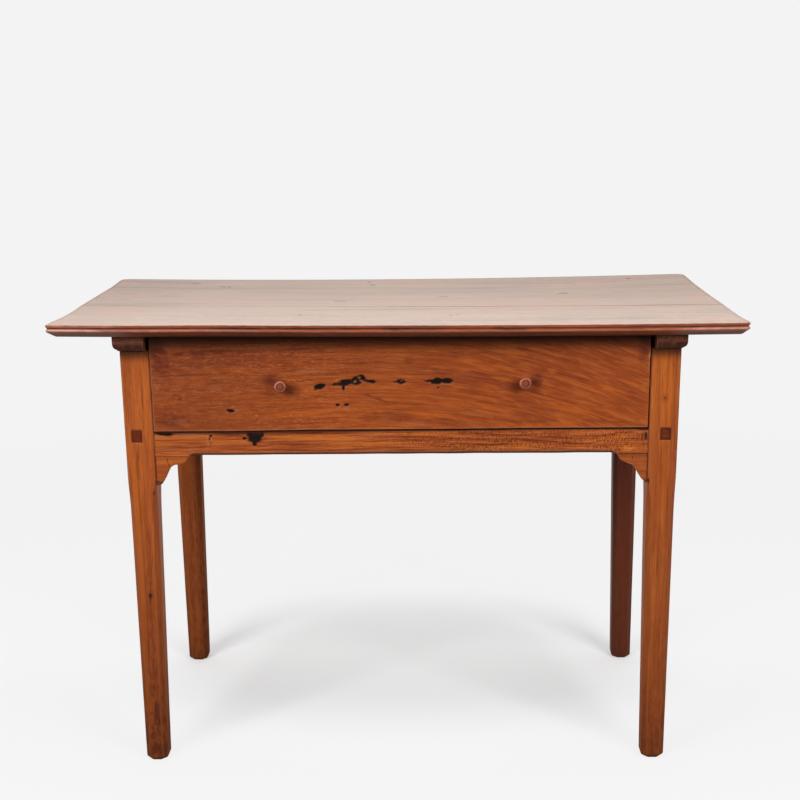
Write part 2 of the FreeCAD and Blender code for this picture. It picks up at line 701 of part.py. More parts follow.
def build_frame():
    """Every piece that stands still, by node name."""
    nodes = {}
    nails = top_nails()
    pegs = joint_pegs()
    brads = bracket_brads()
    guide_fixings = guide_nails()
    aprons = {name: side_apron(side) for name, side in MIRROR.items()}
    apron_behind = back_apron()
    rail = front_rail()
    runners = {name: drawer_runner(side) for name, side in MIRROR.items()}
    leg_tenons = [leg_tenon(side, depth) for side in MIRROR.values() for depth in DEPTH.values()]
    for depth in DEPTH:
        nodes["top_board_" + depth] = cut_all(top_board(depth), nails + nail_sinkings(nails))
    for name, side in MIRROR.items():
        nodes["cleat_" + name] = cut_all(cleat(side), leg_tenons + nails + pegs)
    for depth_name, depth in DEPTH.items():
        for name, side in MIRROR.items():
            shape = leg_blank(side, depth)
            nodes["leg_" + depth_name + "_" + name] = cut_all(
                shape, [aprons[name], apron_behind, rail] + pegs)
    for name in MIRROR:
        nodes["side_apron_" + name] = cut_all(aprons[name], pegs + guide_fixings)
    nodes["back_apron"] = cut_all(apron_behind, pegs + list(runners.values()))
    nodes["front_rail"] = cut_all(rail, list(runners.values()) + brads + [rail_patch()])
    nodes["rail_patch"] = rail_patch()
    for name, side in MIRROR.items():
        open_brads = [brad.fuse(box_below(brad)) for brad in brads]
        nodes["bracket_" + name] = cut_all(bracket(name), open_brads)
        nodes["drawer_runner_" + name] = runners[name]
        nodes["drawer_guide_" + name] = cut_all(drawer_guide(side), guide_fixings)
    nodes["drawer_stops"] = Part.makeCompound(drawer_stops())
    nodes["joint_pegs"] = Part.makeCompound(pegs)
    nodes["top_nails"] = Part.makeCompound(nails)
    nodes["guide_nails"] = Part.makeCompound(guide_fixings)
    nodes["bracket_brads"] = Part.makeCompound(brads)
    return nodes


def box_below(brad):
    """The open hole under a brad that is set below the bracket's surface."""
    bounds = brad.BoundBox
    return box((bounds.XMin, bounds.XMax), (bounds.YMin, bounds.YMax), (BRACKET_TIP_Z, bounds.ZMin))


def build_drawer():
    """Every piece that slides with the drawer, by node name."""
    groove_y = DRAWER_FRONT_BACK_Y - DRAWER_GROOVE_DEPTH
    bottoms = {
        "drawer_bottom_front": drawer_bottom((groove_y, DRAWER_BOTTOM_JOINT_Y)),
        "drawer_bottom_back": drawer_bottom((DRAWER_BOTTOM_JOINT_Y, DRAWER_BACK_Y)),
    }
    nails = bottom_nails()
    front = drawer_front(bottoms["drawer_bottom_front"])
    back = drawer_back()
    nodes = {"drawer_front": front, "drawer_back": cut_all(back, nails)}
    for name, side in MIRROR.items():
        nodes["drawer_side_" + name] = drawer_side(side, front, back, list(bottoms.values()))
    for name, board in bottoms.items():
        nodes[name] = cut_all(board, nails)
    for name in KNOB_CENTRES:
        nodes["knob_" + name] = knob(name)
    nodes["drawer_bottom_nails"] = Part.makeCompound(nails)
    return nodes


def main():
    os.makedirs("parts", exist_ok=True)
    nodes = build_frame()
    nodes.update(build_drawer())
    for name, shape in nodes.items():
        solids = shape.Solids
        clean = solids[0] if len(solids) == 1 else Part.makeCompound(solids)
        clean.exportStep("parts/" + name + ".step")
        bounds = clean.BoundBox
        print("%-22s %2d solids  valid %s  volume %9.0f  z %.1f to %.1f"
              % (name, len(solids), clean.isValid(), clean.Volume, bounds.ZMin, bounds.ZMax))


main()
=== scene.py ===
import itertools
import math

import bmesh
import bpy
import numpy as np
from mathutils import Matrix, Vector


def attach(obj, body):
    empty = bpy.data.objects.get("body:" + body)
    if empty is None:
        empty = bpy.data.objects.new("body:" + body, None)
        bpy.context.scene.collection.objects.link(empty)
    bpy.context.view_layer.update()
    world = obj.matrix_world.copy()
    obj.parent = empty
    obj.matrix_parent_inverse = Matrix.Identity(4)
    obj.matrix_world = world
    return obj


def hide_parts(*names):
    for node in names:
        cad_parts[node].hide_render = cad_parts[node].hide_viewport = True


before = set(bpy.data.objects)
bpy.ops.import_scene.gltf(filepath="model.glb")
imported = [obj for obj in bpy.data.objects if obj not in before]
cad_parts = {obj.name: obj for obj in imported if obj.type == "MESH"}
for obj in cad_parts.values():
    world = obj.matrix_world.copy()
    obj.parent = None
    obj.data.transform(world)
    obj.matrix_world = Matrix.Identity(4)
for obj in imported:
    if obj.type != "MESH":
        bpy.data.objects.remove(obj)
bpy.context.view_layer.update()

# Tavern table, in the frame of the CAD model: +X to the right seen from the drawer front, +Y to the back,
# +Z up. Shapes and marks are worked out in millimetres, and piece() turns them into metres. Materials,
# lamps and the camera are in metres.

MM = 0.001
FRAME_BODY = "frame"
DRAWER_BODY = "drawer"
SIDES = {"left": -1, "right": 1}
DEPTHS = {"front": -1, "back": 1}


# ================================================================ numbers that vary over a surface

LATTICE_SIZE = 32
LATTICE = np.random.default_rng(11).random((LATTICE_SIZE,) * 3)
SEED_STEP = 5.37


def noise(points, cell, seed=0):
    """Smooth noise from -1 to 1. Features are about one cell across, per axis or overall."""
    scaled = points / np.asarray(cell, float) + seed * SEED_STEP
    base = np.floor(scaled).astype(int)
    share = scaled - base
    share = share * share * (3 - 2 * share)
    total = np.zeros(len(points))
    for corner in itertools.product((0, 1), repeat=3):
        weight = np.prod(np.where(corner, share, 1 - share), axis=1)
        i, j, k = ((base + corner) % LATTICE_SIZE).T
        total += weight * LATTICE[i, j, k]
    return total * 2 - 1


def rough_noise(points, cell, seed=0, octaves=3):
    """Noise with finer detail added, each octave half as large."""
    total = sum(noise(points, np.asarray(cell) / 2 ** n, seed + n) / 2 ** n for n in range(octaves))
    return total / (2 - 2 ** (1 - octaves))


def ease(value, low, high):
    """0 at low and 1 at high, smooth between. Low may be the larger."""
    share = np.clip((value - low) / (high - low), 0, 1)
    return share * share * (3 - 2 * share)


def follow(table, place):
    """The value at a place, between the (place, value) pairs of a table."""
    return np.interp(place, *zip(*table))


def blots(a, b, shapes, ragged=0.25, seed=0):
    """1 inside ragged blots in the plane of a and b, each (middle a, middle b, half a, half b, tilt in
    degrees, power). Tilt and power may be left out: a power of 2 gives an ellipse, 1 a spindle."""
    result = np.zeros(len(a))
    for number, (middle_a, middle_b, half_a, half_b, *rest) in enumerate(shapes):
        tilt, power = rest + [0, 2.0][len(rest):]
        da, db = a - middle_a, b - middle_b
        near = np.maximum(np.abs(da), np.abs(db)) < 1.7 * max(half_a, half_b)
        da, db = da[near], db[near]
        turn = math.radians(tilt)
        u = (da * math.cos(turn) + db * math.sin(turn)) / half_a
        v = (db * math.cos(turn) - da * math.sin(turn)) / half_b
        flat = np.stack([a[near], b[near], np.zeros(len(da))], axis=1)
        edge = 1 + ragged * rough_noise(flat, min(half_a, half_b) * 1.3, seed + number)
        away = (np.abs(u) ** power + np.abs(v) ** power) ** (1 / power)
        result[near] = np.maximum(result[near], ease(away, edge * 1.18, edge * 0.72))
    return result


def blot_sets(a, b, *sets, ragged=0.25, seed=0):
    """One result for each set of blots, each set with a seed of its own."""
    return [blots(a, b, shapes, ragged, seed + number) for number, shapes in enumerate(sets)]


def soft_spots(a, b, spots):
    """1 in the middle of each spot (middle a, middle b, half a, half b), falling softly to its edge."""
    return np.max([ease(np.hypot((a - middle_a) / half_a, (b - middle_b) / half_b), 1, 0)
                   for middle_a, middle_b, half_a, half_b in spots], axis=0)


def strokes(a, b, marks):
    """1 along thin lines in the plane of a and b, thinner to their ends. Each is (start a, start b, end a,
    end b, half width)."""
    result = np.zeros(len(a))
    for start_a, start_b, end_a, end_b, width in marks:
        da, db, run_a, run_b = a - start_a, b - start_b, end_a - start_a, end_b - start_b
        along = np.clip((da * run_a + db * run_b) / (run_a ** 2 + run_b ** 2), 0, 1)
        off = np.hypot(da - along * run_a, db - along * run_b)
        taper = 0.35 + 0.65 * ease(along * (1 - along), 0, 0.16)
        result = np.maximum(result, ease(off, width * 1.6 * taper, width * 0.4 * taper))
    return result


# ================================================================ mesh building

def lines(*stops):
    """Grid lines through positions with the wanted step between each two: position, step, position, ..."""
    result = []
    for start, step, end in zip(stops[0::2], stops[1::2], stops[2::2]):
        result += list(np.linspace(start, end, max(1, round((end - start) / step)), endpoint=False))
    return np.array(result + [stops[-1]])


def board_lines(low, high, step, edge):
    """Grid lines across a board, close together over both edges."""
    return lines(low, edge / 3, low + edge, step, high - edge, edge / 3, high)


def mirrored(side, pair):
    """Limits on the chosen side of the middle, the lower one first."""
    return tuple(sorted(side * value for value in pair))


def sheet_quads(index):
    """Quads of a grid of vertex numbers."""
    return np.stack([index[:-1, :-1], index[1:, :-1], index[1:, 1:], index[:-1, 1:]], axis=-1).reshape(-1, 4)


def band_quads(*rings):
    """Quads between closed rings of vertex numbers."""
    return sheet_quads(np.stack([np.append(ring, ring[0]) for ring in rings]))


def block(xs, ys, zs):
    """Closed surface of a block with the given grid lines."""
    shape = (len(xs), len(ys), len(zs))
    surface = np.ones(shape, bool)
    surface[1:-1, 1:-1, 1:-1] = False
    index = np.full(shape, -1)
    index[surface] = np.arange(surface.sum())
    i, j, k = np.nonzero(surface)
    sheets = (index[0], index[-1], index[:, 0], index[:, -1], index[:, :, 0], index[:, :, -1])
    return np.stack([xs[i], ys[j], zs[k]], axis=1), np.concatenate([sheet_quads(sheet) for sheet in sheets])


def worn_edges(points, radius, seed=0):
    """Points of a block with its edges rounded, more in some places than in others."""
    low, high = points.min(axis=0), points.max(axis=0)
    radius = (radius * (1 + 0.5 * rough_noise(points, 30, seed)))[:, None]
    core = np.clip(points, low + radius, high - radius)
    away = points - core
    length = np.linalg.norm(away, axis=1, keepdims=True)
    return core + away / np.maximum(length, 1e-6) * radius


def round_edge(points, first, second, radius):
    """Rounds one long edge. First and second are (axis, direction, position) of its two faces."""
    (axis_a, sign_a, place_a), (axis_b, sign_b, place_b) = first, second
    a = (points[:, axis_a] - place_a) * sign_a + radius
    b = (points[:, axis_b] - place_b) * sign_b + radius
    inside = (a > 0) & (b > 0)
    scale = np.where(inside, np.maximum(a, b) / np.maximum(np.hypot(a, b), 1e-6), 1.0)
    result = points.copy()
    result[:, axis_a] += sign_a * a * (scale - 1)
    result[:, axis_b] += sign_b * b * (scale - 1)
    return result


def plank(limits, step, edge, seed=0):
    """A sawn board with worn edges, from its (low, high) limits along each axis."""
    points, quads = block(*(board_lines(*pair, step, edge * 1.5) for pair in limits))
    return worn_edges(points, edge, seed), quads


CAP_SHARES = (0.05, 0.35, 0.7)


def loft(rings):
    """Closed surface through rings of equal point count, with both ends closed."""
    starts, ends = ([ring + (ring.mean(axis=0) - ring) * share for share in CAP_SHARES]
                    for ring in (rings[0], rings[-1]))
    rows = starts[::-1] + list(rings) + ends
    count = len(rings[0])
    points = np.concatenate(rows + [np.array([rings[0].mean(axis=0), rings[-1].mean(axis=0)])])
    index = np.arange(len(rows) * count).reshape(len(rows), count)
    faces = band_quads(*index).tolist()
    for hub, ring in ((len(points) - 2, index[0]), (len(points) - 1, index[-1])):
        faces += [[hub, int(a), int(b)] for a, b in zip(ring, np.roll(ring, -1))]
    return points, faces


def vertex_values(mesh):
    """Normals and bend of a mesh's vertices. Bend is 1/radius, positive on arrises, in 1/m."""
    count = len(mesh.vertices)
    places, normals = np.empty(count * 3), np.empty(count * 3)
    ends = np.empty(len(mesh.edges) * 2, int)
    mesh.vertices.foreach_get("co", places)
    mesh.vertex_normals.foreach_get("vector", normals)
    mesh.edges.foreach_get("vertices", ends)
    places, normals, ends = places.reshape(-1, 3), normals.reshape(-1, 3), ends.reshape(-1, 2)
    step, turn = (values[ends[:, 0]] - values[ends[:, 1]] for values in (places, normals))
    bend = np.sum(step * turn, axis=1) / np.maximum(np.sum(step * step, axis=1), 1e-9)
    total, number = np.zeros(count), np.zeros(count)
    for end in ends.T:
        np.add.at(total, end, bend)
        np.add.at(number, end, 1)
    return normals, total / np.maximum(number, 1)


def store(mesh, name, *values):
    """Keeps three values for each vertex, each from 0 to 1, for the materials to read."""
    attribute = mesh.attributes.new(name, "FLOAT_VECTOR", "POINT")
    attribute.data.foreach_set("vector", np.clip(np.stack(values, axis=1), 0, 1).astype(np.float32).ravel())


def use_second(mesh, material, chosen):
    """Gives a second material to the faces whose middles are chosen."""
    middles = np.empty(len(mesh.polygons) * 3)
    mesh.polygons.foreach_get("center", middles)
    mesh.materials.append(material)
    mesh.polygons.foreach_set("material_index", chosen(middles.reshape(-1, 3) / MM).astype(int))


# Marks: lift, then wear and painted highlights, dirt and painted shade, holes and painted shadows, stains and
# painted shade, pale marks and painted highlights, and glowing zones.
MARKS = ("lift", "wear", "grime", "hole", "stain", "pale", "glow")


def piece(name, shape, material, body, grain, relief=None, uneven=0.12, nodes=(), second=None):
    """A finished piece, from points in millimetres and faces. Grain gives the vertices' places in the
    timber. Relief gives the marks at the vertices' places: lift along the normal, in millimetres, and the
    strength of the others. Second is (material, choice of faces)."""
    points, faces = shape
    mesh = bpy.data.meshes.new(name)
    mesh.from_pydata((points * MM).tolist(), [], faces if isinstance(faces, list) else faces.tolist())
    made = bmesh.new()
    made.from_mesh(mesh)
    bmesh.ops.recalc_face_normals(made, faces=made.faces)
    made.to_mesh(mesh)
    made.free()
    mesh.shade_smooth()
    marks = dict.fromkeys(MARKS, 0.0) | (relief(points) if relief else {})
    lift, wear, grime, hole, stain, pale, glow = (np.broadcast_to(marks[key], len(points)) for key in MARKS)
    lift = lift + uneven * rough_noise(points, 45, len(name))
    moved = (points + vertex_values(mesh)[0] * lift[:, None]) * MM
    moved[:, 2] = np.maximum(moved[:, 2], 0)
    mesh.vertices.foreach_set("co", moved.ravel())
    mesh.update()
    bend = vertex_values(mesh)[1]
    mesh.attributes.new("grain", "FLOAT_VECTOR", "POINT").data.foreach_set(
        "vector", grain(points).astype(np.float32).ravel())
    # Convex arrises are paled, partly as wear and partly as a painted highlight; concave creases are darkened
    # as dirt.
    store(mesh, "marks", wear + np.clip(bend / 600, 0, 1), grime + np.clip(-bend / 500, 0, 0.8), hole)
    store(mesh, "tones", stain, pale, glow)
    mesh.materials.append(MATERIALS[material])
    if second:
        use_second(mesh, MATERIALS[second[0]], second[1])
    made = bpy.data.objects.new(name, mesh)
    bpy.context.scene.collection.objects.link(made)
    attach(made, body)
    if nodes:
        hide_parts(*nodes)


def timber(along, pith, seed, wander=0.010, bend=None):
    """Gives places in the log, in metres: along the trunk, then the two offsets from its wandering pith."""
    axes = [along] + [axis for axis in (0, 1, 2) if axis != along]

    def places(points):
        result = (points[:, axes] - points[:, axes].mean(axis=0)) * MM
        walk = result * (1, 0, 0)
        if bend:
            result[:, 1:] += bend(points) * MM
        result[:, 0] += seed * 1.7
        result[:, 1] += pith[0] + wander * noise(walk, 0.33, seed)
        result[:, 2] += pith[1] + wander * noise(walk, 0.41, seed + 1)
        return result
    return places


# ================================================================ materials

class Graph:
    """A node tree built by short calls that give back output sockets."""

    def __init__(self, owner):
        owner.use_nodes = True
        self.tree = owner.node_tree
        self.tree.nodes.clear()

    def node(self, kind, inputs, output=0, **settings):
        made = self.tree.nodes.new("ShaderNode" + kind)
        for name, value in settings.items():
            setattr(made, name, value)
        for key, value in inputs.items():
            if isinstance(value, bpy.types.NodeSocket):
                self.tree.links.new(value, made.inputs[key])
            else:
                made.inputs[key].default_value = value
        return made.outputs[output] if made.outputs else None

    def math(self, operation, a, b=0.0, clamp=False):
        return self.node("Math", {0: a, 1: b}, operation=operation, use_clamp=clamp)

    def add(self, a, b):
        return self.math("ADD", a, b)

    def less(self, a, b):
        return self.math("SUBTRACT", a, b)

    def times(self, a, b):
        return self.math("MULTIPLY", a, b)

    def most(self, a, b):
        return self.math("MAXIMUM", a, b)

    def length(self, vector):
        return self.node("VectorMath", {0: vector}, output=1, operation="LENGTH")

    def stretch(self, vector, factors):
        return self.node("VectorMath", {0: vector, 1: factors}, operation="MULTIPLY")

    def noise(self, vector, factors, detail=3.0, roughness=0.55, distortion=0.0):
        inputs = {"Vector": self.stretch(vector, factors), "Scale": 1.0, "Detail": detail,
                  "Roughness": roughness, "Distortion": distortion}
        return self.node("TexNoise", inputs)

    def remap(self, value, low, high, to_low=0.0, to_high=1.0):
        inputs = {"Value": value, "From Min": low, "From Max": high, "To Min": to_low, "To Max": to_high}
        return self.node("MapRange", inputs, interpolation_type="SMOOTHSTEP")

    def mix(self, share, a, b):
        a, b = (value if isinstance(value, bpy.types.NodeSocket) else (*value, 1.0) for value in (a, b))
        return self.node("Mix", {0: share, 6: a, 7: b}, output=2, data_type="RGBA")

    def split(self, vector):
        return self.node("SeparateXYZ", {0: vector}).node.outputs

    def join(self, x, y, z):
        return self.node("CombineXYZ", {0: x, 1: y, 2: z})

    def attribute(self, name):
        return self.node("Attribute", {}, output=1, attribute_name=name)

    def place(self):
        return self.node("TexCoord", {}, output=3)

    def ray_seen(self):
        """1 for rays from the camera and for reflected and refracted rays, 0 for others."""
        path = self.node("LightPath", {}).node.outputs
        return self.most(path["Is Camera Ray"], self.most(path["Is Glossy Ray"], path["Is Transmission Ray"]))

    def finish(self, colour, roughness, height, bump_distance, specular=0.5):
        bump = self.node("Bump", {"Height": height, "Strength": 1.0, "Distance": bump_distance})
        surface = self.node("BsdfPrincipled", {"Base Color": colour, "Roughness": roughness, "Normal": bump,
                                               "Specular IOR Level": specular})
        self.node("OutputMaterial", {"Surface": surface})


def srgb(red, green, blue):
    """Linear colour from eight-bit screen values."""
    values = [value / 255 for value in (red, green, blue)]
    return tuple(value / 12.92 if value <= 0.04045 else ((value + 0.055) / 1.055) ** 2.4 for value in values)


# Dirt and painted shade share one tone, and holes and painted shadows another.
DIRT_AND_SHADE = srgb(38, 18, 12)
HOLE_AND_SHADOW = srgb(11, 5, 3)

# The tones of a look, in order: the timber's three tones, two slow drifts of tone (cloud and warm), then
# rubbed edges and painted highlights, stains and painted shade, pale marks and painted highlights, and
# glowing zones.
TONES = ("light", "middle", "dark", "cloud", "warm", "rubbed_and_highlight", "stain", "pale", "glow")
LONG_STREAKS = (4, 130, 130)
SHORT_STREAKS = (9, 200, 200)
BROAD_STREAKS = (2.6, 48, 48)


def make_look(*tones, streak=LONG_STREAKS, specks=0.22, **traits):
    """Tones, the width of a growth ring in metres, how strongly rings, streaks, drifts, long dark lines
    and specks show, the streaks' fineness, roughness, depth of relief in metres and shine."""
    return dict(zip(TONES, itertools.starmap(srgb, tones)), streak=streak, specks=specks, **traits)


LOOKS = {
    # The top's surface tones are paler than its moulded edges': partly bleached wood and partly painted
    # sheen, the pale reflection the top shows when seen from low down.
    "top": make_look(
        (192, 175, 161), (177, 156, 144), (153, 134, 123), (151, 140, 132), (195, 158, 142), (221, 200, 188),
        (120, 92, 80), (206, 190, 176), (184, 124, 104), ring=0.0070, rings=0.20, streaks=0.55, drifts=0.8,
        lines=0.14, roughness=(0.54, 0.64), depth=0.00007, specular=0.45, specks=0.08, streak=BROAD_STREAKS),
    "top_edge": make_look(
        (164, 90, 58), (138, 70, 44), (80, 36, 22), (106, 50, 32), (164, 84, 44), (164, 98, 68),
        (60, 32, 26), (202, 156, 140), (190, 100, 58), ring=0.0030, rings=0.35, streaks=0.75, drifts=0.7,
        lines=0.5, roughness=(0.24, 0.36), depth=0.00010, specular=0.20),
    "leg": make_look(
        (194, 106, 46), (170, 86, 38), (112, 51, 23), (146, 64, 33), (186, 98, 36), (190, 112, 62),
        (84, 37, 21), (190, 140, 104), (196, 104, 30), ring=0.0040, rings=0.30, streaks=0.75, drifts=0.55,
        lines=0.5, roughness=(0.38, 0.52), depth=0.00014, specular=0.11),
    # A darker copy of the leg look: painted shade for the back-right leg.
    "leg_painted_shade": make_look(
        (118, 54, 34), (98, 42, 27), (62, 26, 18), (82, 30, 24), (104, 56, 30), (120, 70, 48),
        (60, 26, 18), (130, 92, 72), (110, 56, 28), ring=0.0036, rings=0.35, streaks=0.75, drifts=0.6,
        lines=0.5, roughness=(0.40, 0.55), depth=0.00014, specular=0.14, specks=0.14),
    "rail": make_look(
        (206, 114, 56), (176, 88, 40), (94, 38, 18), (138, 60, 28), (198, 102, 43), (190, 118, 74),
        (88, 34, 18), (170, 130, 104), (206, 116, 40), ring=0.0030, rings=0.55, streaks=0.95, drifts=0.5,
        lines=0.75, roughness=(0.40, 0.55), depth=0.00020, specular=0.10, specks=0.32),
    "drawer_front": make_look(
        (180, 92, 40), (155, 73, 30), (104, 44, 21), (130, 56, 28), (172, 84, 31), (178, 108, 66),
        (90, 38, 23), (164, 120, 92), (196, 96, 26), ring=0.0060, rings=0.30, streaks=0.80, drifts=0.55,
        lines=0.5, roughness=(0.36, 0.50), depth=0.00014, specular=0.10, specks=0.30, streak=SHORT_STREAKS),
    "cleat": make_look(
        (150, 92, 68), (116, 66, 48), (66, 34, 25), (86, 46, 34), (128, 66, 40), (164, 116, 88),
        (46, 20, 13), (176, 138, 108), (140, 78, 48), ring=0.0030, rings=0.4, streaks=0.8, drifts=0.5,
        lines=0.5, roughness=(0.5, 0.7), depth=0.0002, specular=0.09),
    "apron": make_look(
        (168, 96, 50), (140, 74, 36), (88, 42, 22), (110, 54, 28), (156, 84, 36), (176, 108, 66),
        (70, 34, 20), (170, 130, 100), (170, 90, 40), ring=0.0042, rings=0.4, streaks=0.65, drifts=0.5,
        lines=0.4, roughness=(0.42, 0.58), depth=0.00018, specular=0.2),
    "tenon": make_look(
        (122, 53, 27), (101, 38, 17), (58, 20, 9), (80, 30, 16), (112, 46, 22), (136, 70, 40),
        (50, 18, 10), (140, 100, 76), (128, 56, 24), ring=0.0016, rings=0.5, streaks=0.5, drifts=0.3,
        lines=0.3, roughness=(0.5, 0.65), depth=0.0002, specular=0.07),
    "knob": make_look(
        (162, 82, 54), (134, 61, 38), (82, 32, 20), (112, 48, 31), (148, 68, 37), (198, 124, 94),
        (60, 25, 16), (232, 156, 130), (170, 90, 60), ring=0.0022, rings=0.3, streaks=0.5, drifts=0.3,
        lines=0.3, roughness=(0.26, 0.38), depth=0.0001, specular=0.22, specks=0.12),
    "secondary": make_look(
        (190, 150, 104), (166, 122, 80), (112, 74, 46), (140, 98, 62), (178, 132, 84), (188, 150, 112),
        (100, 68, 44), (200, 170, 130), (186, 140, 90), ring=0.0055, rings=0.5, streaks=0.6, drifts=0.5,
        lines=0.3, roughness=(0.62, 0.8), depth=0.00025, specular=0.25),
}


def wood(name, look, source=None, extra=None):
    """Old waxed timber. Rings, streaks and pores follow the grain; the marks give worn, dirty and stained
    places, pale marks and holes, and painted highlights, shade and shadows.
    """
    material = bpy.data.materials.new(name)
    g = Graph(material)
    grain = source(g) if source else g.attribute("grain")
    wear, grime, hole = g.split(g.attribute("marks"))
    stain, pale, glow = g.split(g.attribute("tones"))
    _, across, through = g.split(grain)
    wobble = g.noise(grain, (3, 22, 22), detail=2)
    from_pith = g.math("SQRT", g.add(g.times(across, across), g.times(through, through)))
    ring_count = g.math("DIVIDE", g.add(from_pith, g.times(wobble, look["ring"] * 1.6)), look["ring"])
    tooth = g.math("FRACT", ring_count)
    ring_power = g.node("TexNoise", {"W": g.times(ring_count, 0.37), "Scale": 1.0, "Detail": 2.0},
                        noise_dimensions="1D")
    late = g.times(g.math("POWER", tooth, 3.0), g.remap(tooth, 1.0, 0.93))
    late = g.times(late, g.remap(ring_power, 0.3, 0.7, 0.25, 1.0))
    drift = g.noise(grain, (2.6, 30, 30))
    warmth = g.noise(grain, (3.1, 55, 55), roughness=0.6)
    streak = g.noise(grain, look["streak"], detail=4, roughness=0.62)
    fine_streak = g.noise(grain, (8, 420, 420), roughness=0.6)
    long_line = g.noise(grain, (2.4, 240, 240), detail=2)
    fibre = g.noise(grain, (30, 1100, 1100), roughness=0.6)
    pore = g.remap(g.noise(grain, (70, 1500, 1500), detail=1), 0.60, 0.74)
    speck = g.noise(grain, (26, 620, 620), detail=2, roughness=0.6)
    patchy = g.remap(g.noise(grain, (60, 140, 140)), 0.35, 0.65)

    tone = g.add(g.times(streak, 0.6), g.times(fine_streak, 0.4))
    colour = g.mix(g.remap(tone, 0.34, 0.50), look["dark"], look["middle"])
    for share, layer in ((g.remap(tone, 0.50, 0.66), "light"),
                         (1 - look["streaks"], "middle"),
                         (g.remap(drift, 0.50, 0.68, to_high=look["drifts"]), "cloud"),
                         (g.remap(warmth, 0.50, 0.66, to_high=look["drifts"]), "warm"),
                         (g.times(late, look["rings"]), "dark"),
                         (g.remap(long_line, 0.62, 0.72, to_high=look["lines"]), "dark"),
                         (g.remap(fibre, 0.62, 0.35, to_high=0.22), "dark"),
                         (g.times(pore, 0.3), "dark"),
                         (g.remap(speck, 0.53, 0.68, to_high=look["specks"] * 1.2), "rubbed_and_highlight"),
                         (g.remap(speck, 0.47, 0.34, to_high=look["specks"] * 1.6), "dark"),
                         (g.times(glow, g.remap(patchy, 0, 1, 0.55, 0.9)), "glow")):
        colour = g.mix(share, colour, look[layer])
    if extra:
        colour = extra(g, grain, colour)
    # Stains and painted shade, pale marks and painted highlights, wear and painted highlights, then dirt and
    # painted shade.
    for mark, least, full, mark_tone in ((stain, 0.6, 0.95, look["stain"]), (pale, 0.5, 0.95, look["pale"]),
                                         (wear, 0.2, 0.8, look["rubbed_and_highlight"]), (grime, 0.6, 0.92, DIRT_AND_SHADE)):
        colour = g.mix(g.times(mark, g.remap(patchy, 0, 1, least, full)), colour, mark_tone)
    colour = g.mix(hole, colour, HOLE_AND_SHADOW)
    height = g.less(g.times(fibre, 0.5), g.times(pore, 0.5))
    height = g.less(height, g.times(late, 0.4))
    height = g.add(height, g.times(g.noise(grain, (300, 400, 400), detail=4), 0.35))
    rough = g.remap(streak, 0.3, 0.7, *look["roughness"])
    rough = g.math("ADD", rough, g.times(g.most(g.most(grime, stain), hole), 0.35), clamp=True)
    g.finish(colour, rough, height, look["depth"], look["specular"])
    return material


def iron(name):
    """Wrought iron: dark, faintly rusted, hammered."""
    material = bpy.data.materials.new(name)
    g = Graph(material)
    rust = g.noise(g.place(), (420, 420, 420), detail=4)
    colour = g.mix(g.remap(rust, 0.42, 0.68), srgb(52, 46, 44), srgb(104, 58, 36))
    g.finish(colour, g.remap(rust, 0.35, 0.7, 0.45, 0.85), rust, 0.0003)
    return material


def object_grain(along):
    """The place in the timber for a CAD node, whose own mesh stays as it is."""
    def source(g):
        parts = g.split(g.place())
        order = [along] + [axis for axis in (0, 1, 2) if axis != along]
        return g.node("VectorMath", {0: g.join(*(parts[axis] for axis in order)), 1: (0.3, 0.02, 0.05)},
                      operation="ADD")
    return source


def contour(g, value, level, width):
    """1 on the lines where a value passes through a level."""
    return g.remap(g.math("ABSOLUTE", g.less(value, level)), width, 0.0)


def crazed(g, grain, colour):
    """Drawer front: short pale wrinkles of old finish at the left, slanting figure at the right."""
    place = g.place()
    x, _, z = g.split(place)
    wrinkle = g.noise(place, (26, 40, 185), detail=2, roughness=0.5, distortion=0.2)
    lines_made = g.most(contour(g, wrinkle, 0.42, 0.017), contour(g, wrinkle, 0.55, 0.017))
    where = g.times(g.remap(x, 0.12, -0.20), g.remap(g.noise(place, (14, 20, 30)), 0.28, 0.52, 0.35, 1.0))
    colour = g.mix(g.times(g.times(lines_made, where), 0.60), colour, srgb(200, 120, 68))
    band = g.noise(grain, (30, 165, 165), roughness=0.5, distortion=0.6)
    figure = g.times(g.remap(band, 0.47, 0.60), g.remap(x, -0.12, 0.18, to_high=0.38))
    shine = g.times(g.remap(band, 0.47, 0.34), g.remap(x, -0.10, 0.16, to_high=0.36))
    return g.mix(shine, g.mix(figure, colour, srgb(112, 46, 22)), srgb(186, 98, 42))


def chattered(g, grain, colour):
    """Rail: fine upright tool marks across the right half."""
    place = g.place()
    x = g.split(place)[0]
    marks = g.noise(place, (560, 60, 210), detail=1)
    zone = g.times(g.remap(x, -0.12, 0.12), g.remap(g.noise(place, (14, 14, 110), detail=2), 0.34, 0.54))
    return g.mix(g.times(g.remap(marks, 0.46, 0.58, to_high=0.66), zone), colour, srgb(80, 32, 14))


def make_materials():
    extras = {"drawer_front": crazed, "rail": chattered}
    made = {name: wood("wood_" + name, look, extra=extras.get(name))
            for name, look in LOOKS.items() if name != "secondary"}
    for number, axis in enumerate("xy"):
        made["secondary_" + axis] = wood("wood_secondary_" + axis, LOOKS["secondary"], object_grain(number))
    made["pegs"] = wood("wood_pegs", LOOKS["apron"], object_grain(2))
    made["iron"] = iron("wrought_iron")
    return made


MATERIALS = make_materials()


# ================================================================ table top

TOP_HALF_X = 535.0
TOP_HALF_Y = 258.0
TOP_THICKNESS = 20.0
TOP_STEP = 3.2
TOP_MIDDLE_Z = 743.3
BOARD_JOINT_OFFSET = -57.0
BOARD_JOINT_SLOPE = -0.035
JOINT_ARRIS = 0.28
JOINT_GAP = 0.08

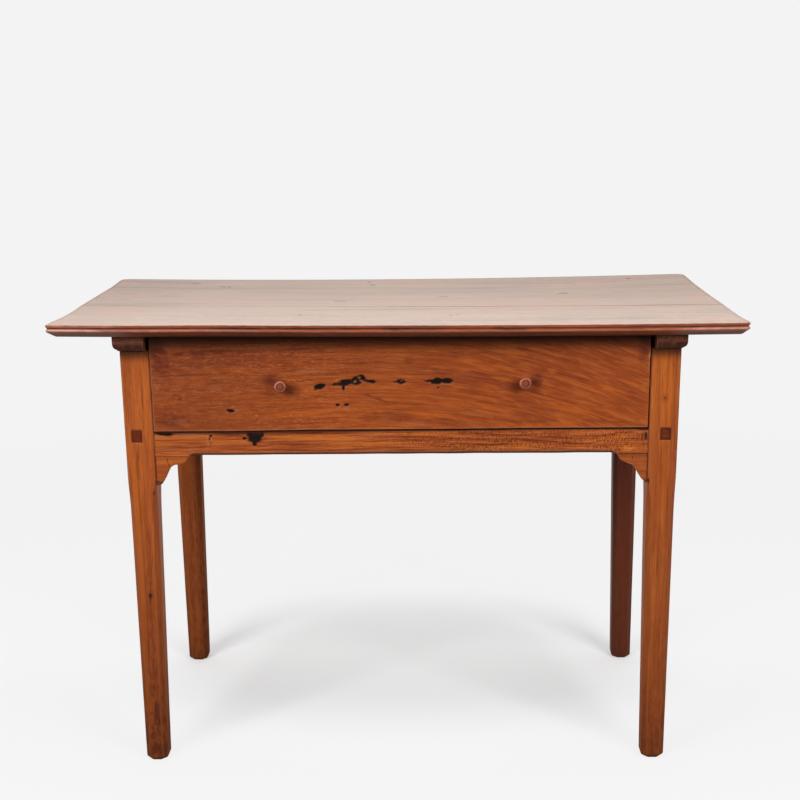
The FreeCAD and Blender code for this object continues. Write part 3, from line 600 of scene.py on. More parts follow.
# How far each end of the top lies inside its half length, by the distance from front to back.
END_INSETS = {-1: ((-258, 0.0), (-242, 0.2), (-221, 0.8), (-179, 3.6), (-114, 3.3), (-49, 0.4), (18, 0.0),
                   (86, 0.2), (156, 1.9), (226, 0.3), (258, 0.0)),
              1: ((-258, 2.2), (-249, 2.6), (-228, 5.2), (-210, 6.4), (-150, 6.6), (-89, 6.4), (-27, 7.3),
                  (37, 8.5), (102, 9.7), (168, 10.9), (212, 10.6), (258, 11.0))}
CORNER_ROUNDS = {(-1, -1): 2.5, (-1, 1): 16.0, (1, -1): 11.0, (1, 1): 16.0}

# How far the front edge stands above the bowed surface, by the distance from left to right.
FRONT_RISE = ((-450, 0.0), (-370, 0.5), (-290, 1.2), (-160, 0.8), (30, 0.6), (160, 0.3), (320, 0.0))
FRONT_RISE_REACH = (-150.0, -250.0)


def surface_height(x, y):
    """The top's upper surface: cupped across, bowed along and twisted, as in the CAD model, with a
    slight swell along the front edge."""
    s, t = x / TOP_HALF_X, y / TOP_HALF_Y
    across = 3.0 * t ** 2 - 2.5 * t
    along = (4.1 + 1.2 * t) * s ** 2 + (0.8 + 1.6 * t) * s
    return TOP_MIDDLE_Z + across + along + follow(FRONT_RISE, x) * ease(y, *FRONT_RISE_REACH)


def end_line(side, y):
    """Where an end of the top lies at a distance y from front to back."""
    return side * (TOP_HALF_X - follow(END_INSETS[side], y))


def edge_distance(x, y):
    """How far a place lies inside the top's outline."""
    ends = np.minimum(x - end_line(-1, y), end_line(1, y) - x)
    return np.minimum(ends, TOP_HALF_Y - np.abs(y))


def edge_profile():
    """Inset and depth down the edge: surface, arris, lip, quirk, bead, long chamfer, underside."""
    arris, bead, bead_middle, chamfer_end = 0.9, 2.6, 9.5, (12.0, 19.6)
    rows = [(4.0, 0.0), (2.0, 0.02)]
    for turn in map(math.radians, (10, 35, 60, 85)):
        rows.append((arris * (1 - math.sin(turn)), arris * (1 - math.cos(turn))))
    rows += [(0.0, 2.4), (0.05, 3.7), (0.4, 4.4), (1.3, 4.8), (2.0, 5.1), (2.2, 5.7), (2.0, 6.3)]
    for turn in map(math.radians, range(-75, 76, 15)):
        rows.append((bead * (1 - math.cos(turn)), bead_middle + bead * math.sin(turn)))
    bead_foot = rows[-1]
    for share in (0.06, 0.3, 0.6, 0.92):
        rows.append(tuple(a + (b - a) * share for a, b in zip(bead_foot, chamfer_end)))
    return rows + [(12.9, 19.95), (15.5, 20.0)]


def top_board(depth):
    """One board of the top, moulded on its outer edge and ends, with a plain joint edge."""
    outer_y = depth * TOP_HALF_Y
    us = np.linspace(0, 1, round(2 * TOP_HALF_X / TOP_STEP))
    vs = np.linspace(0, 1, round(abs(outer_y - BOARD_JOINT_OFFSET) / TOP_STEP))
    grid_u, grid_v = (grid.ravel() for grid in np.meshgrid(us, vs, indexing="ij"))
    index = np.arange(len(us) * len(vs)).reshape(len(us), len(vs))
    rim = np.concatenate([index[:, 0], index[-1, 1:], index[-2::-1, -1], index[0, -2:0:-1]])

    def level(chosen, inset, below):
        """The chosen grid points, drawn in from the edges and set below the surface."""
        u = grid_u[chosen]
        arris = JOINT_GAP + JOINT_ARRIS * max(0.0, 1 - min(below, TOP_THICKNESS - below) / 0.8)
        joint_y = BOARD_JOINT_OFFSET + BOARD_JOINT_SLOPE * (2 * u - 1) * TOP_HALF_X + depth * arris
        y = joint_y + (outer_y - depth * inset - joint_y) * grid_v[chosen]
        left, right = (end_line(side, y) - side * inset for side in (-1, 1))
        x = left + (right - left) * u
        return np.stack([x, y, surface_height(x, y) - below], axis=1)

    first, *between, last = edge_profile()
    under = index + index.size + len(between) * len(rim)
    rings = [index.size + number * len(rim) + np.arange(len(rim)) for number in range(len(between))]
    points = np.concatenate([level(slice(None), *first), *(level(rim, *row) for row in between),
                             level(slice(None), *last)])
    quads = [sheet_quads(index), band_quads(rim, *rings, under.ravel()[rim]), sheet_quads(under)]
    for side in (-1, 1):
        faces = (0, side, end_line(side, outer_y)), (1, depth, outer_y)
        points = round_edge(points, *faces, CORNER_ROUNDS[side, depth])
    return points, np.concatenate(quads)


# Marks in the surface: short cracks, dots, filled nail holes, grey and reddish streaks, pale spots.
TOP_DOTS = ((-161, -143, 3.0, 3.6), (80, -151, 2.4, 3.4), (90, -148, 2.0, 4.0), (-319, 170, 3.0, 4.5),
            (416, 221, 6.0, 3.5), (-66, 225, 2.6, 5.0))
TOP_CRACKS = ((-107, 7, 10.0, 2.2), (-388, 211, 10.0, 3.2), (-331, 173, 7.0, 3.0), (279, 73, 11.0, 4.0, 3),
              (70, 51, 9.0, 1.8), (-58, 191, 6.0, 4.0))
TOP_STREAKS = ((-439, 63, -390, 64, 3.5), (262, -27, 308, -33, 1.8), (425, -47, 452, -49, 2.6),
               (-246, -215, -89, -216, 1.8), (-490, -44, -300, -48, 1.3), (-300, 122, -210, 124, 2.0),
               (120, 150, 240, 148, 3.0))
TOP_REDS = ((446, 11, 14, 5), (340, -88, 24, 9), (392, -78, 30, 6), (90, -72, 95, 8), (-390, -62, 60, 7),
            (-322, 170, 4, 5))
TOP_PALES = ((272, 84, 8, 4), (-121, 7, 3.4, 3.0), (-50, 183, 9, 4))
TOP_PLUGS = [(side * 432, y, 4.2, 4.2) for side in (-1, 1) for y in (-150, -85, 40, 150)]
EDGE_BLEMISHES = ((172, 742, 24, 3.0), (150, 744, 12, 2.5), (-8, 743, 6, 2.6), (-440, 743, 12, 1.6))


def moulding_marks(points, below, moulding):
    """Stains of the lip and the bead, and painted highlights on them: on the bead towards both ends and along
    its left part, and on the lip's left end.
    """
    x = points[:, 0]
    bead = moulding * ease(below, 6.2, 7.4)
    bead_end_highlights = bead * ease(np.abs(x + 10), 415, 470)
    bead_highlight = bead * ease(x, -160, -340)
    lip = moulding * ease(below, 4.4, 3.6)
    lip_end_highlight = lip * ease(x, -415, -455)
    dull = ease(noise(points, (45, 200, 200), 27), 0.0, 0.6) * moulding * ease(x, -500, -100)
    return {"stain": 0.45 * dull + 0.30 * (lip - lip_end_highlight),
            "pale": 0.62 * bead_end_highlights + 0.22 * bead_highlight + 0.35 * lip_end_highlight, "glow": 0.35 * bead_highlight}


def top_relief(points):
    x, y, z = points.T
    below = surface_height(x, y) - z
    edge_gap = edge_distance(x, y)
    surface = ease(below, 1.0, 0.0)
    moulding = (1 - surface) * ease(below, 11.6, 8.6)
    front = ease(y, 14 - TOP_HALF_Y, 8 - TOP_HALF_Y)
    cracks, dots, plugs, reds, pales = (
        marks * surface for marks in blot_sets(x, y, TOP_CRACKS, TOP_DOTS, TOP_PLUGS, TOP_REDS, TOP_PALES))
    streaks = strokes(x, y, TOP_STREAKS) * surface
    blemish = blots(x, z, EDGE_BLEMISHES, seed=90) * front * (1 - surface)
    dents = np.clip(rough_noise(points, (14, 14, 300), 9) - 0.42, 0, 1)
    dents = dents * ease(edge_gap, 9, 2) * ease(below, 5, 3)
    quirk = ease(np.abs(below - 5.6), 1.6, 0.6) * ease(noise(points, (32, 200, 200), 17), 0.1, 0.8)
    chamfer = ease(below, 11.6, 13.4) * (1 - ease(below, 19.6, 19.9))
    under = ease(below, TOP_THICKNESS - 2, TOP_THICKNESS)
    # Painted shadow on the lowest part of the front chamfer between the cleats.
    foot = ease(below, 17.0, 18.6) * ease(np.abs(x), 396, 386) * ease(y, -236, -243)
    aged = 0.18 * ease(y, -100, TOP_HALF_Y) + 0.08 * ease(x, 0, 400) + 0.16 * ease(x, -330, -500)
    rim = ease(edge_gap, 7, 2) * (1 - front)
    corner = ease(x, 500, 530) * ease(y, -225, -256)
    edge = moulding_marks(points, below, moulding)
    return {"lift": -0.12 + 0.10 * rough_noise(points, (200, 60, 1000), 21) * surface - 1.2 * dents
            - 0.35 * cracks - 0.3 * dots,
            "wear": 0.30 * ease(y, 50, -TOP_HALF_Y) * surface,
            "grime": 0.65 * cracks + 0.5 * dots + 0.12 * plugs + 0.25 * under + 0.55 * quirk + 0.43 * chamfer,
            "hole": 0.35 * np.maximum(dots, 0.7 * cracks) + 0.75 * foot,
            "stain": 0.26 * streaks + 0.75 * blemish + 0.35 * dots + edge["stain"]
            + surface * (aged + 0.38 * rim + 0.3 * corner),
            "pale": 0.6 * pales + edge["pale"], "glow": 0.36 * reds + edge["glow"]}


def below_arris(middles):
    """Chooses the faces of the moulded edge and the underside, and not the bottoms of cracks."""
    x, y, z = middles.T
    below = surface_height(x, y) - z
    return (below > 2) | ((below > 0.25) & (edge_distance(x, y) < 2))


def make_top():
    for name, depth in DEPTHS.items():
        grain = timber(0, (0.02, -0.10), 3) if depth < 0 else timber(0, (-0.05, -0.13), 8)
        piece("table_top_" + name, top_board(depth), "top", FRAME_BODY, grain, top_relief, uneven=0.0,
              nodes=["top_board_" + name], second=("top_edge", below_arris))


# ================================================================ cleats

CLEAT_X = (396.0, 444.0)
CLEAT_HALF_Y = 224.0
CLEAT_BOTTOM = 703.0
CLEAT_HEIGHT = 24.0
CLEAT_TO_TOP_GAP = 0.4
CLEAT_OUTER_ROUND = 12.0
CLEAT_END_ROUND = 8.0
CLEAT_CHIPS = {-1: ((-404, 722, 8, 2.6, -10), (-421, 723, 9, 1.8, 4), (-434, 720, 5, 1.6)),
               1: ((400, 722, 3, 2.0),)}


def cleat(side):
    """Batten on the leg tops: lower outer edge and lower ends rounded, upper face against the top."""
    end = 9
    ys = lines(-CLEAT_HALF_Y, 0.7, end - CLEAT_HALF_Y, 8, CLEAT_HALF_Y - end, 0.7, CLEAT_HALF_Y)
    points, quads = block(board_lines(*mirrored(side, CLEAT_X), 1.4, 2), ys,
                          lines(CLEAT_BOTTOM, 0.8, CLEAT_BOTTOM + CLEAT_HEIGHT))
    points = worn_edges(points, 1.3, 4)
    bottom = (2, -1, CLEAT_BOTTOM)
    points = round_edge(points, (0, side, side * CLEAT_X[1]), bottom, CLEAT_OUTER_ROUND)
    for depth in DEPTHS.values():
        points = round_edge(points, (1, depth, depth * CLEAT_HALF_Y), bottom, CLEAT_END_ROUND)
    height = surface_height(points[:, 0], points[:, 1]) - TOP_THICKNESS - CLEAT_TO_TOP_GAP - CLEAT_BOTTOM
    points[:, 2] = CLEAT_BOTTOM + (points[:, 2] - CLEAT_BOTTOM) * height / CLEAT_HEIGHT
    return points, quads


def cleat_relief(side):
    def relief(points):
        x, y, z = points.T
        front = ease(y, 12 - CLEAT_HALF_Y, -CLEAT_HALF_Y)
        chips = blots(x, z, CLEAT_CHIPS[side], ragged=0.5, seed=14) * front
        low = ease(z, 719, 711) * front
        rim = ease(np.abs(x), 441, 444) * front
        saw = rough_noise(points, (4, 50, 50), 33)
        return {"lift": -1.6 * chips + 0.12 * saw * front, "pale": 0.45 * chips * (0.55 + 0.45 * saw),
                "stain": low * 0.95 + 0.5 * rim, "grime": 0.25 * rim + 0.35 * low}
    return relief


def make_cleats():
    for name, side in SIDES.items():
        piece("cleat_batten_" + name, cleat(side), "cleat", FRAME_BODY, timber(1, (0.03, -0.03), 5 + side),
              cleat_relief(side), nodes=["cleat_" + name])


# ================================================================ legs

LEG_Y = 216.0
LEG_INNER_X = 390.0
LEG_INNER_Y = 170.5
LEG_FOOT_INNER_Y = 179.0
LEG_HEIGHT = 703.0
TAPER_START = 533.0
LEG_CHAMFER = 8.0
LEG_ARRIS = 1.0
CHAMFER_STOP = (505.0, 440.0)
FOOT_EASE = 4.0
FOOT_EASE_HEIGHT = 7.0
TENON_X = (408.5, 424.5)
TENON_Z = (556.7, 575.3)
TENON_GAP = 0.35

# Distance of each leg's outer and inner face from the middle, at the top and at the foot.
LEG_FACES = {"front_left": ((434.8, 435.6), (390.0, 399.2)), "front_right": ((435.9, 436.3), (390.0, 398.4)),
             "back_left": ((435.5, 434.0), (390.0, 397.0)), "back_right": ((435.5, 438.5), (390.0, 401.5))}

# Marks on the front legs' faces: knots, chips, cracks, warmer and darker stripes.
LEG_KNOTS = {-1: ((-411.1, 298.5, 2.6, 3.8),), 1: ((413.3, 624, 1.3, 1.9),)}
LEG_CHIPS = {-1: ((-396.6, 209.5, 3.0, 4.6, 12, 1.3), (-394.6, 470, 2.6, 5.0, 20, 1.3)),
             1: ((396, 236, 2.4, 4.6, 0, 1.3), (391.4, 486, 2.2, 8.0, -8, 1.3))}
LEG_LINES = {-1: ((-413.2, 281, -411.4, 295, 0.8), (-410.6, 303, -403.1, 370, 0.8),
                  (-394.8, 487.8, -394.6, 470, 0.7), (-411.5, 516, -411.3, 552, 0.8),
                  (-418, 494, -417, 545, 0.7), (-423, 640, -422, 698, 0.8), (-404, 610, -403, 690, 0.7),
                  (-428, 575, -427.5, 620, 0.7), (-421, 120, -420, 230, 0.7), (-409, 60, -408.6, 150, 0.7),
                  (-421.8, 556, -421.6, 528, 0.6), (-415.7, 556, -415.5, 526, 0.6),
                  (-406.9, 556, -406.7, 530, 0.6)),
             1: ((419, 520, 419.4, 552, 0.7), (404, 620, 404.5, 690, 0.8), (412, 330, 412.6, 450, 0.7),
                 (424, 600, 423, 660, 0.7), (420, 150, 419, 260, 0.7), (408, 60, 408.4, 140, 0.7))}
LEG_GOLDS = {-1: ((-424, 560, -425, 20, 5.0),), 1: ((421, 690, 415, 300, 4.5),)}
LEG_REDS = {-1: ((-412, 470, -413, 20, 4.0), (-431, 520, -431, 460, 2.5)),
            1: ((429, 700, 430, 60, 3.5), (415, 420, 414, 300, 3.0))}

# How much darker the front legs are, by height: darker towards the floor, partly as dirt and partly as
# painted shade where the lamps' light falls off. The back legs have a share of it and an even part, which is
# painted shade.
LEG_DIRT_AND_SHADE = {-1: ((40, 0.95), (80, 0.86), (190, 0.50), (345, 0.22), (480, 0.06), (560, 0.0)),
             1: ((40, 0.72), (80, 0.60), (190, 0.34), (345, 0.25), (480, 0.16), (580, 0.0))}
BACK_LEG_DIRT_AND_SHADE = {-1: (0.5, 0.24), 1: (0.2, 0.0)}


def face_shares(outer, inner):
    """Shares across a leg's face for its grid lines, with the mortise's edges among them."""
    flat = outer - inner - 2 * LEG_ARRIS
    start, end = ((outer - LEG_ARRIS - x) / flat for x in TENON_X[::-1])
    gap = TENON_GAP / flat
    return lines(0, 0.05, start - gap, 1, start, 0.05, end, 1, end + gap, 0.05, 1)


def leg_outline(widths, shares, chamfer, inset):
    """Distances in from the two outer faces, round an eight-sided section."""
    corner = [0.12, 0.5, 0.88]
    low, near = inset + chamfer, inset
    (high_x, high_y), (far_x, far_y) = ([width - gone for width in widths] for gone in (low, inset))
    sides = [((low, near), (high_x, near), shares), ((high_x, near), (far_x, low), corner),
             ((far_x, low), (far_x, high_y), shares), ((far_x, high_y), (high_x, far_y), corner),
             ((high_x, far_y), (low, far_y), 1 - shares[::-1]), ((low, far_y), (near, high_y), corner),
             ((near, high_y), (near, low), shares), ((near, low), (low, near), corner)]
    return np.array([[a + (b - a) * step for a, b in zip(start, end)]
                     for start, end, steps in sides for step in steps])


def leg(side, depth, faces):
    """A leg whose inner faces taper below the rail and whose corners are chamfered lower down."""
    heights = lines(0.0, 1, 9, 3, CHAMFER_STOP[1], 2, TAPER_START + 2, 3, TENON_Z[0] - TENON_GAP, 1,
                    TENON_Z[0], 1.5, TENON_Z[1], 1, TENON_Z[1] + TENON_GAP, 3, LEG_HEIGHT)
    shares = face_shares(faces[0][0], faces[1][0])
    rings = []
    for z in heights:
        gone = max(0.0, 1 - z / TAPER_START)
        outer, inner, inner_y = (top + (foot - top) * gone
                                 for top, foot in (*faces, (LEG_INNER_Y, LEG_FOOT_INNER_Y)))
        chamfer = LEG_ARRIS + (LEG_CHAMFER - LEG_ARRIS) * ease(z, *CHAMFER_STOP)
        inset = FOOT_EASE * max(0.0, 1 - z / FOOT_EASE_HEIGHT) ** 1.6
        outline = leg_outline((outer - inner, LEG_Y - inner_y), shares, chamfer, inset)
        rings.append(np.stack([side * (outer - outline[:, 0]), depth * (LEG_Y - outline[:, 1]),
                               np.full(len(outline), z)], axis=1))
    return loft(rings)


def front_leg_marks(side, points, outer):
    """What only the front legs have: their knots, chips, lines, painted shadow under the cleats, painted
    shade along the outer arris and dark joint.
    """
    x, y, z = points.T
    knots, chips = (marks * outer for marks in blot_sets(x, z, LEG_KNOTS[side], LEG_CHIPS[side]))
    halo = blots(x, z, [(*knot[:2], 5.5, 8.0) for knot in LEG_KNOTS[side]]) * outer
    thin, golds, reds = (strokes(x, z, marks[side]) * outer for marks in (LEG_LINES, LEG_GOLDS, LEG_REDS))
    joint = ease(np.abs(x), 392.5, 390.6) * ease(z, 478, 488) * ease(y, -209, -214)
    # Painted shadow under the cleats, and painted shade along the outer arris.
    painted_shadow = 0.88 * ease(z, 680.5, 702.5) * outer
    outer_arris_shade = ease(np.abs(x), 433.4, 434.8) * outer
    return {"lift": -0.5 * knots - 1.0 * chips - 0.15 * thin, "hole": np.maximum(0.5 * knots, painted_shadow),
            "grime": 0.9 * knots + 0.55 * chips + 0.4 * thin + 0.5 * joint + 0.30 * outer_arris_shade,
            "stain": 0.35 * halo + 0.20 * reds, "glow": 0.38 * golds + 0.20 * ease(z, 560, 620) * (side > 0)}


def leg_relief(side, depth):
    def relief(points):
        x, y, z = points.T
        outer = ease(np.abs(y), LEG_Y - 3, LEG_Y - 1)
        from_x, from_z = np.abs(np.abs(x) - sum(TENON_X) / 2), np.abs(z - sum(TENON_Z) / 2)
        in_mortise = ((from_x < 8.2) & (from_z < 9.4)) * outer
        soiled = ease(np.maximum(from_x - 8, from_z - 9.3), 2.5, 0.2) * outer
        foot = ease(z, 40, 0)
        result = {"lift": 0.35 * rough_noise(points, (30, 30, 12), 3) * foot - 1.5 * in_mortise
                  + 0.1 * rough_noise(points, (20, 20, 150), 13),
                  "grime": 0.35 * soiled + 0.30 * foot + 0.9 * in_mortise,
                  "stain": follow(LEG_DIRT_AND_SHADE[side], z)}
        if depth < 0:
            marks = front_leg_marks(side, points, outer)
            return {key: marks[key] + result.get(key, 0.0) for key in marks}
        share, even = BACK_LEG_DIRT_AND_SHADE[side]
        # Painted shade on the back-left leg's inner face.
        inner_face_shade = 0.3 * ease(np.abs(x), 409, 403) * (side < 0)
        low_glow = 0.55 * ease(z, 400, 250) * (side > 0)
        return result | {"stain": share * result["stain"] + even + inner_face_shade, "glow": low_glow}
    return relief


def make_legs():
    pairs = itertools.product(SIDES.items(), DEPTHS.items())
    for number, ((side_name, side), (depth_name, depth)) in enumerate(pairs):
        name = f"{depth_name}_{side_name}"
        piece("tapered_leg_" + name, leg(side, depth, LEG_FACES[name]),
              "leg_painted_shade" if name == "back_right" else "leg", FRAME_BODY,
              timber(2, (0.05 * side, 0.04 * depth), 20 + 3 * number, wander=0.004), leg_relief(side, depth),
              nodes=["leg_" + name])


# ================================================================ aprons, rail and brackets

APRON_Z = (545.0, 703.0)
SIDE_APRON_X = (405.5, 427.5)
BACK_APRON_Y = (186.0, 208.0)
TUCK = 0.5
TENON_END_Y = 216.2
TENON_LENGTH = 25.7


def tenon_relief(points):
    """End grain, dirtier towards its rim."""
    x, _, z = points.T
    off_x = np.abs(np.abs(x) - sum(TENON_X) / 2) + 1.3
    rim = ease(np.maximum(off_x, np.abs(z - sum(TENON_Z) / 2)), 5.6, 9.0)
    mottle = ease(noise(points, (6, 1000, 4), 63), -0.2, 0.6)
    return {"grime": 0.08 + 0.45 * rim + 0.25 * mottle, "glow": 0.40 * (1 - rim),
            "lift": 0.25 * rough_noise(points, 4, 6)}


def make_aprons():
    for name, side in SIDES.items():
        limits = mirrored(side, SIDE_APRON_X), (-LEG_INNER_Y - TUCK, LEG_INNER_Y + TUCK), APRON_Z
        piece("side_apron_board_" + name, plank(limits, 5, 1.2, 7), "apron", FRAME_BODY,
              timber(1, (0.08, 0.02), 31 + side), nodes=["side_apron_" + name])
        for depth_name, depth in DEPTHS.items():
            y_pair = mirrored(depth, (TENON_END_Y - TENON_LENGTH, TENON_END_Y))
            tenon = plank((mirrored(side, TENON_X), y_pair, TENON_Z), 1.2, 0.5, 9)
            piece(f"through_tenon_{depth_name}_{name}", tenon, "tenon", FRAME_BODY,
                  timber(0, (0.004, 0.003), 40 + 2 * side + depth, wander=0.0), tenon_relief)
    limits = (-LEG_INNER_X - TUCK, LEG_INNER_X + TUCK), BACK_APRON_Y, APRON_Z
    piece("back_apron_board", plank(limits, 5, 1.2, 12), "apron", FRAME_BODY, timber(0, (0.09, 0.03), 37),
          nodes=["back_apron"])


FACE_Y = -214.5
RAIL_BACK_Y = -190.5
RAIL_Z = (533.0, 573.4)
RAIL_TOP_LINE = ((-390, 571.7), (-260, 571.7), (-140, 573.4), (30, 573.4), (200, 574.4), (368, 574.5),
                 (376, 573.2), (392, 573.2))
RAIL_BOTTOM_LINE = ((-390, 532.6), (0, 533.4), (390, 533.9))
RAIL_CHAMFER = 6.9
CHAMFER_RUN = {-1: (337.5, 326.0), 1: (343.0, 331.0)}
PATCH_INNER_X = -302.0
PATCH_Z = (546.0, 567.5)
PATCH_GAP = 0.4

# Marks on the rail's face.
RAIL_KNOTS = ((-230.9, 563.0, 12.0, 9.2, 0, 2.4), (-231.5, 553.0, 3.4, 3.6), (-221, 568.5, 5, 5),
              (-239, 568.5, 5, 4))
RAIL_HOLES = ((-373.5, 569.8, 16, 3.6, -6), (-300.4, 565.8, 2.2, 2.0), (-302.6, 561.2, 1.2, 2.4),
              (-247, 561.6, 3.4, 2.2), (386.2, 563, 1.5, 8))
RAIL_STAINS = ((-265, 567.6, 22, 2.8, -10), (-228.0, 562, 16, 8.5), (382, 557, 3.4, 15),
               (-258.1, 561.9, 3.4, 1.4, 10), (372, 560, 2.0, 9), (342.5, 540.6, 4.5, 1.2, 3),
               (-150, 570, 40, 2), (-40, 545, 50, 2.4, 2), (130, 566, 60, 2.2, -2), (250, 552, 50, 2.4, -2))
RAIL_LINES = ((-387.6, 559.2, -303.5, 559.0, 0.9), (-341, 553.5, -303.8, 553.3, 0.8),
              (-386.8, 545.9, -306, 547.1, 1.0), (-300.6, 558.6, -301.1, 546.8, 0.8),
              (-286, 551, -256, 550.8, 0.9), (297.7, 562.6, 367.7, 570.9, 1.0), (-215, 556, -120, 558, 0.8),
              (-190, 549, -60, 551, 0.8), (-100, 566, 60, 562, 0.9), (20, 556, 150, 549, 0.8),
              (90, 570, 280, 559, 0.9), (160, 562, 300, 548, 0.8), (-30, 541, 110, 543, 0.8),
              (210, 541, 330, 556, 0.7))
RAIL_PALES = ((-375, 565.0, 7, 1.3), (-329, 568.8, 26, 1.8, -3), (-305, 557, 1.1, 10), (386, 560, 1.2, 9))
RAIL_GLOWS = ((-345, 564, 40, 3.0), (-345, 550.5, 40, 2.4), (-140, 563, 70, 3.4, -1), (-60, 552, 70, 3.0, 1),
              (60, 566, 60, 2.6, -2), (160, 546, 80, 2.6), (330, 559, 40, 3.4, 8), (-270, 556, 26, 2.8),
              (355, 545, 22, 3.0))
RAIL_SCUFFS = [(349.8 + shift, 536.5, 354.5 + shift, 544.5, 0.8) for shift in (0, 4, 7.5, 11)]


def facing(y, face=FACE_Y):
    """1 on the front face of a piece, 0 behind its arris."""
    return ease(y, face + 2, face + 1)


def leg_joint(x):
    """1 where a piece of the front meets a leg."""
    return ease(np.abs(x), 387.6, 389.6)


def front_rail():
    xs = lines(-LEG_INNER_X - TUCK, 1.3, PATCH_INNER_X, 1, PATCH_INNER_X + PATCH_GAP, 1.3, LEG_INNER_X + TUCK)
    zs = lines(RAIL_Z[0], 0.75, PATCH_Z[0] - PATCH_GAP, 1, PATCH_Z[0], 1.2, PATCH_Z[1], 1,
               PATCH_Z[1] + PATCH_GAP, 0.8, RAIL_Z[1])
    points, quads = block(xs, board_lines(FACE_Y, RAIL_BACK_Y, 4.5, 5), zs)
    points = worn_edges(points, 0.9, 15)
    x, y, z = points.T
    upper = follow(RAIL_TOP_LINE, x) - RAIL_Z[1]
    upper = np.where(upper > 0, upper * ease(y, -196, -200), upper)
    lower = follow(RAIL_BOTTOM_LINE, x) - RAIL_Z[0]
    above_patch, below_patch = PATCH_Z[1] + PATCH_GAP, PATCH_Z[0] - PATCH_GAP
    shift = upper * np.clip((z - above_patch) / (RAIL_Z[1] - above_patch), 0, 1)
    z += shift + lower * np.clip((below_patch - z) / (PATCH_Z[0] - RAIL_Z[0]), 0, 1)
    chamfer = np.where(x < 0, ease(-x, *CHAMFER_RUN[-1]), ease(x, *CHAMFER_RUN[1])) * RAIL_CHAMFER
    chamfer = chamfer * (1 + 0.12 * noise(points, 40, 8))
    dy, dz = y - FACE_Y, z - RAIL_Z[0] - lower
    short = np.maximum(chamfer - dy - dz, 0) / 2
    bulge = 0.6 * np.clip(1 - ((dy - dz) / np.maximum(chamfer, 1e-3)) ** 2, 0, 1) * (short > 0)
    points[:, 1:] += (short - bulge * (chamfer / RAIL_CHAMFER))[:, None]
    return points, quads


def rail_relief(points):
    x, y, z = points.T
    front = facing(y)
    recess = ((x < PATCH_INNER_X + 0.1) & (np.abs(z - sum(PATCH_Z) / 2) < 10.85)) * front
    knots, holes, stains, pales, glows = (marks * front for marks in blot_sets(
        x, z, RAIL_KNOTS, RAIL_HOLES, RAIL_STAINS, RAIL_PALES, RAIL_GLOWS, ragged=0.35))
    thin, scuffs = (strokes(x, z, marks) * front for marks in (RAIL_LINES, RAIL_SCUFFS))
    # Painted shade on the downward-facing lower chamfer, and a painted highlight along its upper arris.
    low = ease(z, RAIL_Z[0] + 5.5, RAIL_Z[0] + 2.0) * ease(np.abs(x), 341, 331)
    arris = ease(np.abs(z - RAIL_Z[0] - 6.4), 2.0, 0.6) * ease(np.abs(x), 338, 326)
    mottle = ease(noise(points, (5, 1000, 3), 61), 0.1, 0.6)
    # The upper edge is darkened as painted shade and shadow from the gap under the drawer, most on the left
    # half.
    from_top = follow(RAIL_TOP_LINE, x) - z
    shadowed = ease(from_top, 5.5, 2.5) * ease(x, 60, -60) * ease(x, -310, -290) * front
    painted_shadow = 0.62 * ease(from_top, 7.5, 0.5) * ease(x, -20, -140) * front
    gap_edge_shade = 0.85 * ease(from_top, 1.3, 0.5) * ease(y, FACE_Y + 7, FACE_Y + 4)
    return {"lift": -1.2 * recess - 0.8 * knots - 1.6 * holes,
            "grime": 0.9 * recess + 0.9 * knots + 0.75 * leg_joint(x) * front + 0.75 * low
            + 0.6 * ease(from_top, 2.2, 1.0) * front,
            "hole": np.max([holes, painted_shadow, gap_edge_shade, knots * (0.95 - 0.4 * mottle)], axis=0),
            "stain": 0.45 * stains + 0.6 * thin + 0.4 * low + 0.45 * shadowed,
            "pale": 0.45 * pales + 0.28 * arris, "glow": 0.9 * scuffs + 0.5 * glows, "wear": 0.5 * scuffs}


def patch_relief(points):
    """The patch shows the grain lines, holes and joint that cross it."""
    x, y, z = points.T
    front = facing(y)
    # The patch's upper part takes painted shade, as the rail's upper edge does.
    holes = np.maximum(blots(x, z, RAIL_HOLES, ragged=0.35, seed=1), 0.5 * ease(z, 564.5, 571.5))
    return {"stain": 0.85 * strokes(x, z, RAIL_LINES) * front, "grime": 0.75 * leg_joint(x) * front,
            "glow": 0.2 * front, "hole": holes * front, "pale": 0.3 * blots(x, z, RAIL_PALES, seed=3) * front}


BRACKET_Y = (-213.5, -193.5)
BRACKET_TOP = 532.6
BRACKET_EDGES = {-1: ((338.5, 533.0), (340.0, 528.2), (343.5, 522.6), (350.0, 519.4), (360.0, 518.3),
                      (366.0, 514.6), (371.5, 505.8), (377.0, 493.9), (381.0, 487.2), (385.0, 485.0),
                      (390.8, 484.6)),
                 1: ((343.5, 533.0), (344.3, 528.0), (348.2, 522.9), (356.0, 518.8), (366.0, 515.4),
                     (370.8, 510.2), (375.3, 500.8), (381.0, 492.2), (387.0, 486.4), (390.8, 484.6))}
BRACKET_CRACKS = {-1: ((-371.5, 529, -370, 521, 0.8), (-370, 521, -367.5, 516, 0.7),
                       (-388.5, 491.5, -382, 487.5, 1.4)),
                  1: ((366, 529, 366.4, 525, 0.6),)}


def bracket(side):
    edge, height = BRACKET_EDGES[side], 60
    points, quads = block(board_lines(edge[0][0], LEG_INNER_X + 0.6, 0.8, 1.5),
                          board_lines(*BRACKET_Y, 3, 2.2), board_lines(0, height, 1.5, 3))
    points = worn_edges(points, 1.3, 5 + side)
    low = follow(edge, points[:, 0])
    points[:, 2] = low + points[:, 2] * (BRACKET_TOP - low) / height
    return points * (side, 1, 1), quads


